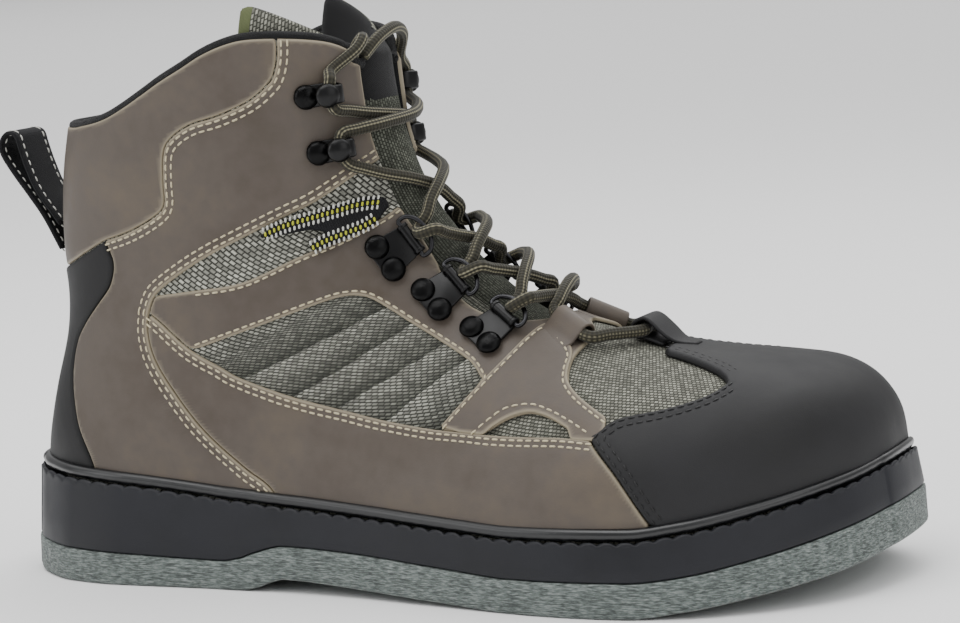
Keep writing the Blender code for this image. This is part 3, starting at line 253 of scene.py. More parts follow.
@dataclass
class SoleShape:
    """The sole's outline and its lines of height."""

    length: float = 318 * MM
    ball_width: float = 127 * MM
    heel_rest: float = 45 * MM
    felt: float = 11 * MM
    wall: float = 24 * MM
    arch_lift: float = 4.5 * MM
    toe_spring: float = 14 * MM
    shelf: float = 7.5 * MM
    welt: float = 3.2 * MM
    round_end: float = 0.3
    columns: dict[str, SmoothLine] = field(default_factory=dict)

    def __post_init__(self) -> None:
        """Make a smooth line of each column."""
        at = [row.at for row in SOLE_PROFILE]
        for name in ("arch", "spring", "felt", "wall"):
            self.columns[name] = SmoothLine(at, [getattr(row, name) for row in SOLE_PROFILE])
        at = [row.at for row in SOLE_PLAN]
        for name in ("centre", "half"):
            self.columns[name] = SmoothLine(at, [getattr(row, name) for row in SOLE_PLAN])

    def read(self, x: np.ndarray, column: str) -> np.ndarray:
        """A profile column at places along X."""
        return self.columns[column].at((x + self.heel_rest) / self.length)

    def ground(self, x: np.ndarray) -> np.ndarray:
        """Height of the felt's underside."""
        return self.arch_lift * self.read(x, "arch") + self.toe_spring * self.read(x, "spring")

    def felt_top(self, x: np.ndarray) -> np.ndarray:
        """Height where felt and midsole meet."""
        return self.ground(x) + self.felt * self.read(x, "felt")

    def wall_top(self, x: np.ndarray) -> np.ndarray:
        """Height of the wall's top edge."""
        return self.felt_top(x) + self.wall * self.read(x, "wall")

    def seat(self, x: np.ndarray) -> np.ndarray:
        """Height of the midsole's upper face."""
        return self.wall_top(x) - self.welt

    def plan(self, share: np.ndarray, inset: float) -> tuple[np.ndarray, np.ndarray, np.ndarray]:
        """The outline, inset.

        Args:
            share: shares of the length.
            inset: how far the outline is moved in, in metres.

        Returns:
            X, and the lateral and medial Y.
        """
        x = inset + share * (self.length - 2 * inset) - self.heel_rest
        centre = self.columns["centre"].at(share) * self.ball_width
        half = self.columns["half"].at(share) * self.ball_width
        heel = SOLE_PLAN[1].at
        toe = 1 - SOLE_PLAN[-2].at
        round_heel = SOLE_PLAN[1].half * self.ball_width * np.sqrt(1 - (1 - np.minimum(share / heel, 1)) ** 2)
        round_toe = SOLE_PLAN[-2].half * self.ball_width
        round_toe = round_toe * np.sqrt(1 - (1 - np.minimum((1 - share) / toe, 1)) ** 2)
        half = np.where(share < heel, round_heel, np.where(share > 1 - toe, round_toe, half))
        half = half - inset * np.minimum(1, half / (self.round_end * self.ball_width))
        return x, centre - half, centre + half

    def edges(self, x: np.ndarray) -> tuple[np.ndarray, np.ndarray]:
        """Lateral and medial edge of the upper's base at places along X."""
        share = (x + self.heel_rest - self.shelf) / (self.length - 2 * self.shelf)
        return self.plan(np.clip(share, 0, 1), self.shelf)[1:]

    def run(self, share: np.ndarray) -> np.ndarray:
        """Places along the upper, from its heel to its toe."""
        return self.shelf + share * (self.length - 2 * self.shelf) - self.heel_rest

    def ring(self, inset: float, steps: int = 170) -> np.ndarray:
        """A closed outline of even spacing.

        Args:
            inset: how far it is moved in, in metres.
            steps: points along each side.

        Returns:
            Points in X and Y, lateral side to the toe, then the medial side back.
        """
        share = (1 - np.cos(np.linspace(0, math.pi, 6 * steps + 1))) / 2
        x, low, high = self.plan(share, inset)
        loop = np.concatenate([np.stack([x, low], 1), np.stack([x, high], 1)[-2::-1]])
        far = np.concatenate([[0], np.cumsum(np.linalg.norm(np.diff(loop, axis=0), axis=1))])
        wanted = np.linspace(0, far[-1], 2 * steps + 1)[:-1]
        return np.stack([np.interp(wanted, far, loop[:, k]) for k in (0, 1)], 1)


SOLE = SoleShape()


@dataclass
class Last:
    """The shape of the upper as sections between the sole or heel line and the ridge."""

    shaft_height: float = 185 * MM
    shaft_width: float = 80 * MM
    instep: float = 114 * MM
    toe: float = 71.5 * MM
    swell: float = 2.0
    dense: int = 160
    columns: dict[str, np.ndarray] = field(default_factory=dict)

    def __post_init__(self) -> None:
        """Collect the table's columns."""
        for name in ("ridge", "cap", "rise", "shaft", "base", "climb", "lateral", "medial", "widest",
                     "top", "low", "centre"):
            self.columns[name] = np.array([float(getattr(row, name)) for row in SECTIONS])
        self.columns["of"] = np.array([row.of == "shaft" for row in SECTIONS])

    def read(self, name: str, place: np.ndarray) -> np.ndarray:
        """Read a column between its rows.

        Args:
            name: the column.
            place: rows, as numbers with fractions; below zero it goes on straight.

        Returns:
            The values.
        """
        values = self.columns[name]
        i = np.clip(place.astype(int), 0, len(values) - 2)
        t = place - i
        v = [values[np.clip(i + k, 0, len(values) - 1)] for k in (-1, 0, 1, 2)]
        first = v[1] * (1 + 2 * t) * (1 - t) ** 2 + v[2] * t * t * (3 - 2 * t)
        curve = first + (v[2] - v[0]) / 2 * t * (1 - t) ** 2 - (v[3] - v[1]) / 2 * t * t * (1 - t)
        return np.where(t < 0, v[1] + t * (v[2] - v[1]), curve)

    def half_width(self, name: str, place: np.ndarray, foot: np.ndarray) -> np.ndarray:
        """Half width of a side at its widest, from the shaft's width or the foot's edge."""
        near = np.clip(place.astype(int), 0, len(SECTIONS) - 2)
        sizes = []
        for k in (0, 1):
            measure = np.where(self.columns["of"][near + k], self.shaft_width / 2, foot)
            sizes.append(self.columns[name][near + k] * measure)
        return sizes[0] + (sizes[1] - sizes[0]) * (place - near)

    def sections(self, place: np.ndarray, steps: int) -> np.ndarray:
        """Points of sections, evenly spaced along each half.

        Args:
            place: the sections, in rows of the table.
            steps: steps from the base to the ridge.

        Returns:
            An array of sections by points by XYZ, lateral base to ridge to medial base.
        """
        ridge_x = SOLE.run(np.minimum(self.read("ridge", place), 1))
        base_x = SOLE.run(np.clip(self.read("base", place), 0, 1))
        floor = SOLE.seat(ridge_x)
        ridge_z = floor + self.read("cap", place) * (self.toe - floor)
        ridge_z = ridge_z + self.read("rise", place) * (self.instep - self.toe)
        ridge_z = ridge_z + self.read("shaft", place) * (self.shaft_height - self.instep)
        climb = self.read("climb", place)
        heel = SOLE.seat(base_x)
        base_z = heel + np.maximum(climb, 0) * (self.shaft_height - heel)
        centre = self.read("centre", place) * SOLE.ball_width
        edges = SOLE.edges(base_x)
        middle = self.read("widest", place)[:, None]
        top = 2 / self.read("top", place)[:, None]
        low = 2 / self.read("low", place)[:, None]
        closed = np.clip(climb / 0.12, 0, 1)[:, None]
        closed = closed * closed * (3 - 2 * closed)
        turn = np.linspace(0, math.pi, self.dense + 1)[None, :]
        cos, sin = np.cos(turn), np.clip(np.sin(turn), 0, 1)
        halves = []
        for name, hand, number in (("lateral", -1, 0), ("medial", 1, 1)):
            foot = np.maximum(hand * (edges[number] - centre), 0)
            wide = self.half_width(name, place, foot)[:, None]
            up_share = middle + (1 - middle) * np.maximum(-cos, 0) ** top
            up_half = wide * sin ** top
            open_share = middle * (1 - np.maximum(cos, 0))
            edge = SOLE.edges(base_x[:, None] + (ridge_x - base_x)[:, None] * open_share)[number]
            blend = (open_share / middle) ** self.swell
            open_half = np.maximum(hand * (edge - centre[:, None]), 0) * (1 - blend) + wide * blend
            shut_share = middle * (1 - np.maximum(cos, 0) ** low)
            shut_half = wide * sin ** low
            low_share = open_share + (shut_share - open_share) * closed
            low_half = open_half + (shut_half - open_half) * closed
            share = np.where(turn > math.pi / 2, up_share, low_share)
            half = np.where(turn > math.pi / 2, up_half, low_half)
            points = np.stack([base_x[:, None] + (ridge_x - base_x)[:, None] * share,
                               centre[:, None] + hand * half,
                               base_z[:, None] + (ridge_z - base_z)[:, None] * share], 2)
            points[:, -1, 1] = centre
            halves.append(self.even(points, steps))
        return np.concatenate([halves[0], halves[1][:, -2::-1]], 1)

    @staticmethod
    def even(points: np.ndarray, steps: int) -> np.ndarray:
        """Space the points of each section evenly."""
        result = np.empty((len(points), steps + 1, 3))
        for number, line in enumerate(points):
            far = np.concatenate([[0], np.cumsum(np.linalg.norm(np.diff(line, axis=0), axis=1))])
            wanted = np.linspace(0, far[-1], steps + 1)
            for k in range(3):
                result[number, :, k] = np.interp(wanted, far, line[:, k])
        return result


LAST = Last()


def spline(points: Line, steps: int = 8) -> np.ndarray:
    """A smooth line through the points of an outline.

    Args:
        points: the outline's points as shares.
        steps: points for each stretch between two of them.

    Returns:
        Points in X and Z, in metres.
    """
    knots = np.array([(SOLE.run(along), up * LAST.shaft_height) for along, up in points])
    padded = np.concatenate([knots[:1], knots, knots[-1:]])
    t = (np.arange(steps) / steps)[:, None]
    out = []
    for k in range(1, len(padded) - 2):
        p = padded[k - 1:k + 3]
        first = p[1] * (1 + 2 * t) * (1 - t) ** 2 + p[2] * t * t * (3 - 2 * t)
        out.append(first + (p[2] - p[0]) / 2 * t * (1 - t) ** 2 - (p[3] - p[1]) / 2 * t * t * (1 - t))
    return np.concatenate(out + [knots[-1:]])


def shifted(line: np.ndarray, distance: float) -> np.ndarray:
    """A line moved to its left."""
    ahead = np.gradient(line, axis=0)
    left = np.stack([-ahead[:, 1], ahead[:, 0]], 1)
    return line + left / np.maximum(np.linalg.norm(left, axis=1), 1e-9)[:, None] * distance


def stretch(points: Line, first: int, last: int, distance: float = 0.0, steps: int = 8) -> np.ndarray:
    """Part of a smooth outline, between two of its knots, moved to its left."""
    line = shifted(spline(points, steps), distance)
    if first <= last:
        return line[first * steps:last * steps + 1]
    return line[last * steps:first * steps + 1][::-1]


def side_points(*points: tuple[float, float]) -> np.ndarray:
    """Corner points of an outline, in metres."""
    return np.array([(SOLE.run(along), up * LAST.shaft_height) for along, up in points])


def floor_line(start: float, end: float, lift: float) -> np.ndarray:
    """The line above the welt's bead, from one share of the length to another."""
    x = SOLE.run(np.linspace(start, end, max(3, int(abs(end - start) * 120))))
    return np.stack([x, SOLE.wall_top(x) + lift], 1)


def inside(points: np.ndarray, outline: np.ndarray) -> np.ndarray:
    """Which points in X and Z lie inside a closed outline."""
    x, z = points[:, 0], points[:, 1]
    result = np.zeros(len(points), bool)
    for a, b in zip(outline, np.roll(outline, -1, axis=0)):
        crosses = (a[1] > z) != (b[1] > z)
        if not crosses.any():
            continue
        at = a[0] + (z - a[1]) / (b[1] - a[1] + 1e-15) * (b[0] - a[0])
        result ^= crosses & (x < at)
    return result


def distance_to(points: np.ndarray, lines: list[np.ndarray]) -> np.ndarray:
    """Distance in space from points to the nearest of some lines.

    Args:
        points: points by XYZ.
        lines: lines of points.

    Returns:
        A distance for each point, large where there is no line.
    """
    best = np.full(len(points), 1.0)
    for line in lines:
        if len(line) < 2:
            continue
        a, d = line[:-1], np.diff(line, axis=0)
        size = np.maximum((d * d).sum(1), 1e-14)
        for start in range(0, len(points), 3000):
            block = points[start:start + 3000, None, :] - a[None]
            t = np.clip((block * d[None]).sum(2) / size, 0, 1)
            gap = block - t[..., None] * d[None]
            best[start:start + 3000] = np.minimum(best[start:start + 3000],
                                                  np.sqrt((gap * gap).sum(2)).min(1))
    return best


class Cloth:
    """A triangle mesh on the last, with normals and values at its points."""

    def __init__(self, points: np.ndarray, normals: np.ndarray, faces: np.ndarray,
                 values: dict[str, np.ndarray]) -> None:
        """Keep the arrays.

        Args:
            points: places on the last.
            normals: the last's outward normals there.
            faces: triangles.
            values: named numbers, one for each point.
        """
        self.points, self.normals, self.faces, self.values = points, normals, faces, values

    def keep(self, wanted: np.ndarray) -> "Cloth":
        """A copy with some of the triangles.

        Args:
            wanted: which triangles.

        Returns:
            The smaller cloth.
        """
        faces = self.faces[wanted]
        used, inverse = np.unique(faces, return_inverse=True)
        values = {name: value[used] for name, value in self.values.items()}
        return Cloth(self.points[used], self.normals[used], inverse.reshape(-1, 3), values)

    def split(self, name: str, level: float) -> None:
        """Cut the triangles along a line of equal value.

        Args:
            name: the value.
            level: where it is cut.
        """
        s = self.values[name] - level
        s = np.where(np.abs(s) < 2e-6, np.where(s < 0, -2e-6, 2e-6), s)
        above = s > 0
        count = above[self.faces].sum(1)
        mixed = (count == 1) | (count == 2)
        faces = self.faces[mixed]
        if not len(faces):
            return
        flags = above[faces]
        odd = np.where(flags.sum(1) == 1, flags.argmax(1), (~flags).argmax(1))
        rows = np.arange(len(faces))
        a, b, c = (faces[rows, (odd + k) % 3] for k in (0, 1, 2))
        pairs = np.sort(np.concatenate([np.stack([a, b], 1), np.stack([a, c], 1)]), axis=1)
        edges, index = np.unique(pairs, axis=0, return_inverse=True)
        index = index.reshape(-1)
        t = (s[edges[:, 0]] / (s[edges[:, 0]] - s[edges[:, 1]]))
        base = len(self.points)

        def between(data: np.ndarray) -> np.ndarray:
            """Values at the cut edges, after the old ones."""
            weight = t if data.ndim == 1 else t[:, None]
            return np.concatenate([data, data[edges[:, 0]] * (1 - weight) + data[edges[:, 1]] * weight])

        self.points = between(self.points)
        self.normals = between(self.normals)
        self.values = {key: between(value) for key, value in self.values.items()}
        self.values[name][base:] = level
        ab = base + index[:len(faces)]
        ac = base + index[len(faces):]
        new = np.concatenate([np.stack([a, ab, ac], 1), np.stack([ab, b, c], 1), np.stack([ab, c, ac], 1)])
        self.faces = np.concatenate([self.faces[~mixed], new])

    def below(self, name: str, level: float) -> "Cloth":
        """The part where a value is below a level."""
        self.split(name, level)
        return self.keep(self.values[name][self.faces].mean(1) < level)


class LastSurface:
    """The last as a fine cloth, with what is needed to place things on it."""

    def __init__(self, spacing: float = 1.25 * MM, steps: int = 100) -> None:
        """Make the cloth.

        Args:
            spacing: largest step between sections.
            steps: steps from the base to the ridge.
        """
        fine = np.linspace(-0.6, len(SECTIONS) - 1.02, 3000)
        rings = LAST.sections(fine, 2)
        moves = np.linalg.norm(np.diff(rings[:, [0, 2]], axis=0), axis=2).max(1)
        far = np.concatenate([[0], np.cumsum(moves)])
        count = int(far[-1] / spacing)
        places = np.interp(np.linspace(0, far[-1], count + 1), far, fine)
        grid = LAST.sections(places, steps)
        for _ in range(int(14 * MM / spacing)):
            grid[2:-2] = grid[1:-3] / 4 + grid[2:-2] / 2 + grid[3:-1] / 4
        rows, columns = grid.shape[:2]
        normals = np.cross(np.gradient(grid, axis=1), np.gradient(grid, axis=0))
        size = np.linalg.norm(normals, axis=2, keepdims=True)
        normals = normals / np.maximum(size, 1e-12)
        if normals[rows // 3, steps, 0] < 0:
            normals = -normals
        index = np.arange(rows * columns).reshape(rows, columns)
        a, b = index[:-1, :-1].ravel(), index[:-1, 1:].ravel()
        c, d = index[1:, 1:].ravel(), index[1:, :-1].ravel()
        faces = np.concatenate([np.stack([a, b, c], 1), np.stack([a, c, d], 1)])
        points = grid.reshape(-1, 3)
        keys = np.round(points / (0.02 * MM)).astype(np.int64)
        _, first, inverse = np.unique(keys, axis=0, return_index=True, return_inverse=True)
        inverse = inverse.reshape(-1)
        merged = np.zeros((len(first), 3))
        np.add.at(merged, inverse, normals.reshape(-1, 3))
        merged /= np.maximum(np.linalg.norm(merged, axis=1, keepdims=True), 1e-9)
        faces = inverse[faces]
        good = (faces[:, 0] != faces[:, 1]) & (faces[:, 1] != faces[:, 2]) & (faces[:, 0] != faces[:, 2])
        faces = faces[good]
        corner = points[first][faces]
        cross = np.cross(corner[:, 1] - corner[:, 0], corner[:, 2] - corner[:, 0])
        flip = (cross * merged[faces[:, 0]]).sum(1) < 0
        faces[flip] = faces[flip][:, ::-1]
        around = np.linalg.norm(np.diff(grid, axis=1), axis=2)
        around = np.concatenate([np.zeros((rows, 1)), np.cumsum(around, axis=1)], 1)
        around = around - around[:, steps:steps + 1]
        along = np.repeat(np.interp(places, fine, far)[:, None], columns, 1)
        values = {
            "place": np.repeat(places, columns)[first],
            "around": around.reshape(-1)[first],
            "along": along.reshape(-1)[first],
            "hand": np.tile(np.sign(np.arange(columns) - steps), rows)[first].astype(float),
        }
        self.cloth = Cloth(points[first], merged, faces, values)
        self.places = places
        self.grid = grid
        self.steps = steps
        self.throat = SmoothLine([p for p, _ in THROAT], [w * MM for _, w in THROAT])
        self.trees: dict[float, BVHTree] = {}
        self.tree = self.tree_at(0.0)
        self.throat_lines = [self.throat_edge(hand) for hand in Hand]
        values["throat"] = self.throat_value(self.cloth)
        values["mouth"] = self.mouth_value(self.cloth)

    def tree_at(self, offset: float) -> BVHTree:
        """A search tree of the last moved out by an offset."""
        key = round(offset / MM, 2)
        if key not in self.trees:
            moved = self.cloth.points + self.cloth.normals * offset
            self.trees[key] = BVHTree.FromPolygons(moved.tolist(), self.cloth.faces.tolist())
        return self.trees[key]

    def read(self, points: np.ndarray, name: str) -> np.ndarray:
        """One of the cloth's values at the places nearest to some points."""
        found = [self.tree.find_nearest(Vector(point))[2] for point in points]
        return self.cloth.values[name][self.cloth.faces[found]].mean(1)

    def throat_edge(self, hand: Hand) -> np.ndarray:
        """The throat's edge on one side as a line in space."""
        line = []
        for number, place in enumerate(self.places):
            if place > THROAT[-1][0]:
                break
            half = float(self.throat.at(np.array([place]))[0])
            ring = self.grid[number, self.steps::hand.value]
            y = np.abs(ring[:, 1])
            k = int(np.argmax(y > half))
            t = (half - y[k - 1]) / max(y[k] - y[k - 1], 1e-9)
            line.append(ring[k - 1] + (ring[k] - ring[k - 1]) * t)
        return np.array(line)

    def in_space(self, line: np.ndarray, hand: Hand) -> list[np.ndarray]:
        """A side-view line laid on the last.

        Args:
            line: points in X and Z.
            hand: the side that it lies on.

        Returns:
            The stretches of it that meet the last.
        """
        runs: list[list[Vector]] = [[]]
        for x, z in line:
            start = Vector((x, hand.value * 0.2, z))
            hit = self.tree.ray_cast(start, Vector((0, -hand.value, 0)))[0]
            if hit is None:
                if runs[-1]:
                    runs.append([])
            else:
                runs[-1].append(hit)
        return [np.array([tuple(p) for p in run]) for run in runs if len(run) > 1]

    def edge_value(self, cloth: Cloth, outline: np.ndarray, lines: list[np.ndarray]) -> np.ndarray:
        """Distance to the nearest of some lines, below zero inside a closed outline."""
        gap = distance_to(cloth.points, lines)
        return np.where(inside(cloth.points[:, [0, 2]], outline), -gap, gap)

    def throat_value(self, cloth: Cloth) -> np.ndarray:
        """Distance to the throat's edge, above zero in the throat."""
        place = cloth.values["place"]
        half = self.throat.at(place)
        open_there = (np.abs(cloth.points[:, 1]) < half) & (place < THROAT[-1][0])
        open_there &= cloth.normals[:, 0] > -0.2
        gap = distance_to(cloth.points, self.throat_lines)
        return np.where(open_there, gap, -gap)

    def mouth_value(self, cloth: Cloth, lift: float = 0.0) -> np.ndarray:
        """Distance to the collar's edge, above zero over it."""
        line = spline(COLLAR_LINE) + np.array([0, lift])
        top = np.array([(line[-1, 0], 0.4), (line[0, 0], 0.4)])
        outline = np.concatenate([line, top])
        lines = [run for hand in Hand for run in self.in_space(line, hand)]
        return -self.edge_value(cloth, outline, lines)

    def part(self, outline: np.ndarray, hand: Hand | None, margin: float = 6 * MM) -> Cloth:
        """The cloth round an outline's box.

        Args:
            outline: points in X and Z.
            hand: one side, or none for both.
            margin: how far past the box.

        Returns:
            A cloth of its own.
        """
        p = self.cloth.points
        low, high = outline.min(0) - margin, outline.max(0) + margin
        near = (p[:, 0] > low[0]) & (p[:, 0] < high[0]) & (p[:, 2] > low[1]) & (p[:, 2] < high[1])
        if hand is not None:
            near &= self.cloth.values["hand"] * hand.value >= 0
        return self.cloth.keep(near[self.cloth.faces].all(1))


def new_object(name: str, mesh: bpy.types.Mesh) -> bpy.types.Object:
    """Link a mesh into the scene as an object."""
    thing = bpy.data.objects.new(name, mesh)
    bpy.context.scene.collection.objects.link(thing)
    return thing


def array_mesh(name: str, points: np.ndarray, faces: np.ndarray, uv: np.ndarray | None = None,
               slots: np.ndarray | None = None) -> bpy.types.Mesh:
    """Make a smooth-shaded mesh from arrays.

    Args:
        name: the mesh's name.
        points: points by XYZ.
        faces: triangles.
        uv: a pair for each point, in metres on the surface.
        slots: a material number for each face.

    Returns:
        The mesh.
    """
    mesh = bpy.data.meshes.new(name)
    mesh.vertices.add(len(points))
    mesh.vertices.foreach_set("co", points.astype(np.float32).ravel())
    mesh.loops.add(3 * len(faces))
    mesh.loops.foreach_set("vertex_index", faces.astype(np.int32).ravel())
    mesh.polygons.add(len(faces))
    mesh.polygons.foreach_set("loop_start", (3 * np.arange(len(faces))).astype(np.int32))
    mesh.polygons.foreach_set("use_smooth", np.ones(len(faces), bool))
    if slots is not None:
        mesh.polygons.foreach_set("material_index", slots.astype(np.int32))
    if uv is not None:
        layer = mesh.uv_layers.new(name="UVMap")
        layer.data.foreach_set("uv", uv[faces.ravel()].astype(np.float32).ravel())
    mesh.update(calc_edges=True)
    mesh.validate()
    return mesh


def shell_mesh(name: str, cloth: Cloth, outer: np.ndarray, inner: np.ndarray,
               back_slot: int = 0) -> bpy.types.Mesh:
    """Give a cloth a front, a back and a rim.

    Args:
        name: the mesh's name.
        cloth: the cloth on the last.
        outer: height of the front over the last at each point.
        inner: height of the back.
        back_slot: material number of the back.

    Returns:
        A closed mesh.
    """
    count = len(cloth.points)
    front = cloth.points + cloth.normals * outer[:, None]
    back = cloth.points + cloth.normals * inner[:, None]
    edges = np.concatenate([cloth.faces[:, [0, 1]], cloth.faces[:, [1, 2]], cloth.faces[:, [2, 0]]])
    _, index, counts = np.unique(np.sort(edges, axis=1), axis=0, return_inverse=True, return_counts=True)
    rim = edges[counts[index.reshape(-1)] == 1]
    walls = np.concatenate([
        np.stack([rim[:, 0], rim[:, 0] + count, rim[:, 1] + count], 1),
        np.stack([rim[:, 0], rim[:, 1] + count, rim[:, 1]], 1),
    ])
    faces = np.concatenate([cloth.faces, cloth.faces[:, ::-1] + count, walls])
    slots = np.zeros(len(faces), int)
    slots[len(cloth.faces):] = back_slot
    uv = np.stack([cloth.values["along"], cloth.values["around"]], 1)
    return array_mesh(name, np.concatenate([front, back]), faces, np.concatenate([uv, uv]), slots)


def tube_mesh(name: str, path: np.ndarray, radius: float, sides: int = 12,
              flat: float = 1.0) -> bpy.types.Mesh:
    """A round cord or wire along a path, with UVs in turns and metres.

    Args:
        name: the mesh's name.
        path: points by XYZ.
        radius: half its thickness.
        sides: points round it.
        flat: height over width of its section.

    Returns:
        A closed mesh.
    """
    ahead = np.gradient(path, axis=0)
    ahead /= np.maximum(np.linalg.norm(ahead, axis=1, keepdims=True), 1e-9)
    side = np.cross(ahead[0], (0.1, 0.2, 1.0))
    side /= np.linalg.norm(side)
    far = np.concatenate([[0], np.cumsum(np.linalg.norm(np.diff(path, axis=0), axis=1))])
    turns = np.arange(sides + 1) * 2 * math.pi / sides
    points, uv = [], []
    for k, (place, way) in enumerate(zip(path, ahead)):
        side = side - way * side.dot(way)
        side /= np.linalg.norm(side)
        up = np.cross(way, side)
        points.append(place + radius * (np.cos(turns)[:-1, None] * side + flat * np.sin(turns)[:-1, None] * up))
        uv.append(np.stack([np.full(sides + 1, far[k]), turns / (2 * math.pi)], 1))
    mesh = bpy.data.meshes.new(name)
    verts = np.concatenate(points + [path[:1], path[-1:]])
    faces, corners = [], []
    for k in range(len(path) - 1):
        for j in range(sides):
            n = (j + 1) % sides
            faces.append((k * sides + j, k * sides + n, (k + 1) * sides + n, (k + 1) * sides + j))
            corners += [uv[k][j], uv[k][j + 1], uv[k + 1][j + 1], uv[k + 1][j]]
    last = len(path) - 1
    for j in range(sides):
        n = (j + 1) % sides
        faces.append((n, j, len(verts) - 2))
        corners += [uv[0][j + 1], uv[0][j], uv[0][j]]
        faces.append((last * sides + j, last * sides + n, len(verts) - 1))
        corners += [uv[last][j], uv[last][j + 1], uv[last][j]]
    mesh.from_pydata(verts.tolist(), [], faces)
    layer = mesh.uv_layers.new(name="UVMap")
    layer.data.foreach_set("uv", np.array(corners, np.float32).ravel())
    mesh.polygons.foreach_set("use_smooth", np.ones(len(faces), bool))
    mesh.update()
    return mesh


def smooth_route(points: list[Vector] | np.ndarray, steps: int) -> np.ndarray:
    """A smooth path through points in space."""
    knots = np.array([tuple(p) for p in points])
    padded = np.concatenate([2 * knots[:1] - knots[1:2], knots, 2 * knots[-1:] - knots[-2:-1]])
    t = (np.arange(steps) / steps)[:, None]
    out = []
    for k in range(1, len(padded) - 2):
        p = padded[k - 1:k + 3]
        first = p[1] * (1 + 2 * t) * (1 - t) ** 2 + p[2] * t * t * (3 - 2 * t)
        out.append(first + (p[2] - p[0]) / 2 * t * (1 - t) ** 2 - (p[3] - p[1]) / 2 * t * t * (1 - t))
    return np.concatenate(out + [knots[-1:]])


def linear(code: str) -> tuple[float, float, float, float]:
    """Turn an sRGB hex colour to linear.

    Args:
        code: six hex digits.

    Returns:
        Red, green, blue and an alpha of one.
    """
    parts = [int(code[k:k + 2], 16) / 255 for k in (0, 2, 4)]
    red, green, blue = (c / 12.92 if c <= 0.04045 else ((c + 0.055) / 1.055) ** 2.4 for c in parts)
    return red, green, blue, 1.0


def add_node(tree: bpy.types.NodeTree, kind: str, settings: dict[str, object] | None = None,
             inputs: dict[str | int, object] | None = None) -> bpy.types.Node:
    """Add a node with its settings and links.

    Args:
        tree: the node tree.
        kind: the node's type.
        settings: its properties; "stops" are a ramp's places and hex colours.
        inputs: a value or another node's output for each input.

    Returns:
        The node.
    """
    node = tree.nodes.new(kind)
    for key, value in (settings or {}).items():
        if key != "stops":
            setattr(node, key, value)
            continue
        ramp = node.color_ramp
        ramp.elements.remove(ramp.elements[-1])
        ramp.elements[0].position = value[0][0]
        ramp.elements[0].color = linear(value[0][1])
        for at, code in value[1:]:
            ramp.elements.new(at).color = linear(code)
    for key, value in (inputs or {}).items():
        if isinstance(value, bpy.types.NodeSocket):
            tree.links.new(value, node.inputs[key])
        else:
            node.inputs[key].default_value = value
    return node


@dataclass(frozen=True)
class Finish:
    """A finish: the shader's own values, with patterns added by its kinds."""

    name: str
    colour: str
    roughness: float = 0.6
    metallic: float = 0.0
    coat: float = 0.0
    sheen: float = 0.0
    specular: float = 0.5

    def material(self) -> bpy.types.Material:
        """The finish as a material, made once."""
        found = bpy.data.materials.get(self.name)
        if found:
            return found
        material = bpy.data.materials.new(self.name)
        material.use_nodes = True
        tree = material.node_tree
        shader = tree.nodes["Principled BSDF"]
        shader.inputs["Base Color"].default_value = linear(self.colour)
        shader.inputs["Roughness"].default_value = self.roughness
        shader.inputs["Metallic"].default_value = self.metallic
        shader.inputs["Coat Weight"].default_value = self.coat
        shader.inputs["Coat Roughness"].default_value = 0.2
        shader.inputs["Sheen Weight"].default_value = self.sheen
        shader.inputs["Sheen Roughness"].default_value = 0.5
        shader.inputs["Specular IOR Level"].default_value = self.specular
        self.dress(tree, shader)
        return material

    def dress(self, tree: bpy.types.NodeTree, shader: bpy.types.Node) -> None:
        """Faint handling marks: roughness that varies over about 8 mm."""
        where = add_node(tree, "ShaderNodeTexCoord").outputs["Object"]
        marks = add_node(tree, "ShaderNodeTexNoise", None, {"Vector": where, "Scale": 125, "Detail": 3})
        rough = add_node(tree, "ShaderNodeMapRange", None, {
            "Value": marks.outputs["Fac"], "From Min": 0.3, "From Max": 0.7,
            "To Min": self.roughness - 0.06, "To Max": self.roughness + 0.08})
        tree.links.new(rough.outputs["Result"], shader.inputs["Roughness"])


@dataclass(frozen=True)
class MouldedRubber(Finish):
    """Rubber or rubber-like film: fine grain, soft creases and a little dust."""

    light: str = "4a4b4d"
    grain: float = 0.35 * MM
    depth: float = 0.05 * MM
    crease: float = 0.12 * MM

    def dress(self, tree: bpy.types.NodeTree, shader: bpy.types.Node) -> None:
        """Add tonal clouds, grain and creases."""
        where = add_node(tree, "ShaderNodeTexCoord").outputs["Object"]
        cloud = add_node(tree, "ShaderNodeTexNoise", None, {"Vector": where, "Scale": 30, "Detail": 6,
                                                            "Roughness": 0.6})
        tone = add_node(tree, "ShaderNodeValToRGB", {"stops": [(0.35, self.colour), (0.75, self.light)]},
                        {"Fac": cloud.outputs["Fac"]})
        tree.links.new(tone.outputs["Color"], shader.inputs["Base Color"])
        rough = add_node(tree, "ShaderNodeMapRange", None, {
            "Value": cloud.outputs["Fac"], "From Min": 0.3, "From Max": 0.7,
            "To Min": self.roughness - 0.08, "To Max": self.roughness + 0.1})
        tree.links.new(rough.outputs["Result"], shader.inputs["Roughness"])
        fine = add_node(tree, "ShaderNodeTexNoise", None, {"Vector": where, "Scale": 1 / self.grain, "Detail": 2})
        slow = add_node(tree, "ShaderNodeTexNoise", None, {"Vector": where, "Scale": 90, "Detail": 2,
                                                           "Distortion": 1.5})
        first = add_node(tree, "ShaderNodeBump", None, {"Height": slow.outputs["Fac"], "Distance": self.crease,
                                                        "Strength": 0.6})
        bump = add_node(tree, "ShaderNodeBump", None, {"Height": fine.outputs["Fac"], "Distance": self.depth,
                                                       "Strength": 0.8, "Normal": first.outputs["Normal"]})
        tree.links.new(bump.outputs["Normal"], shader.inputs["Normal"])


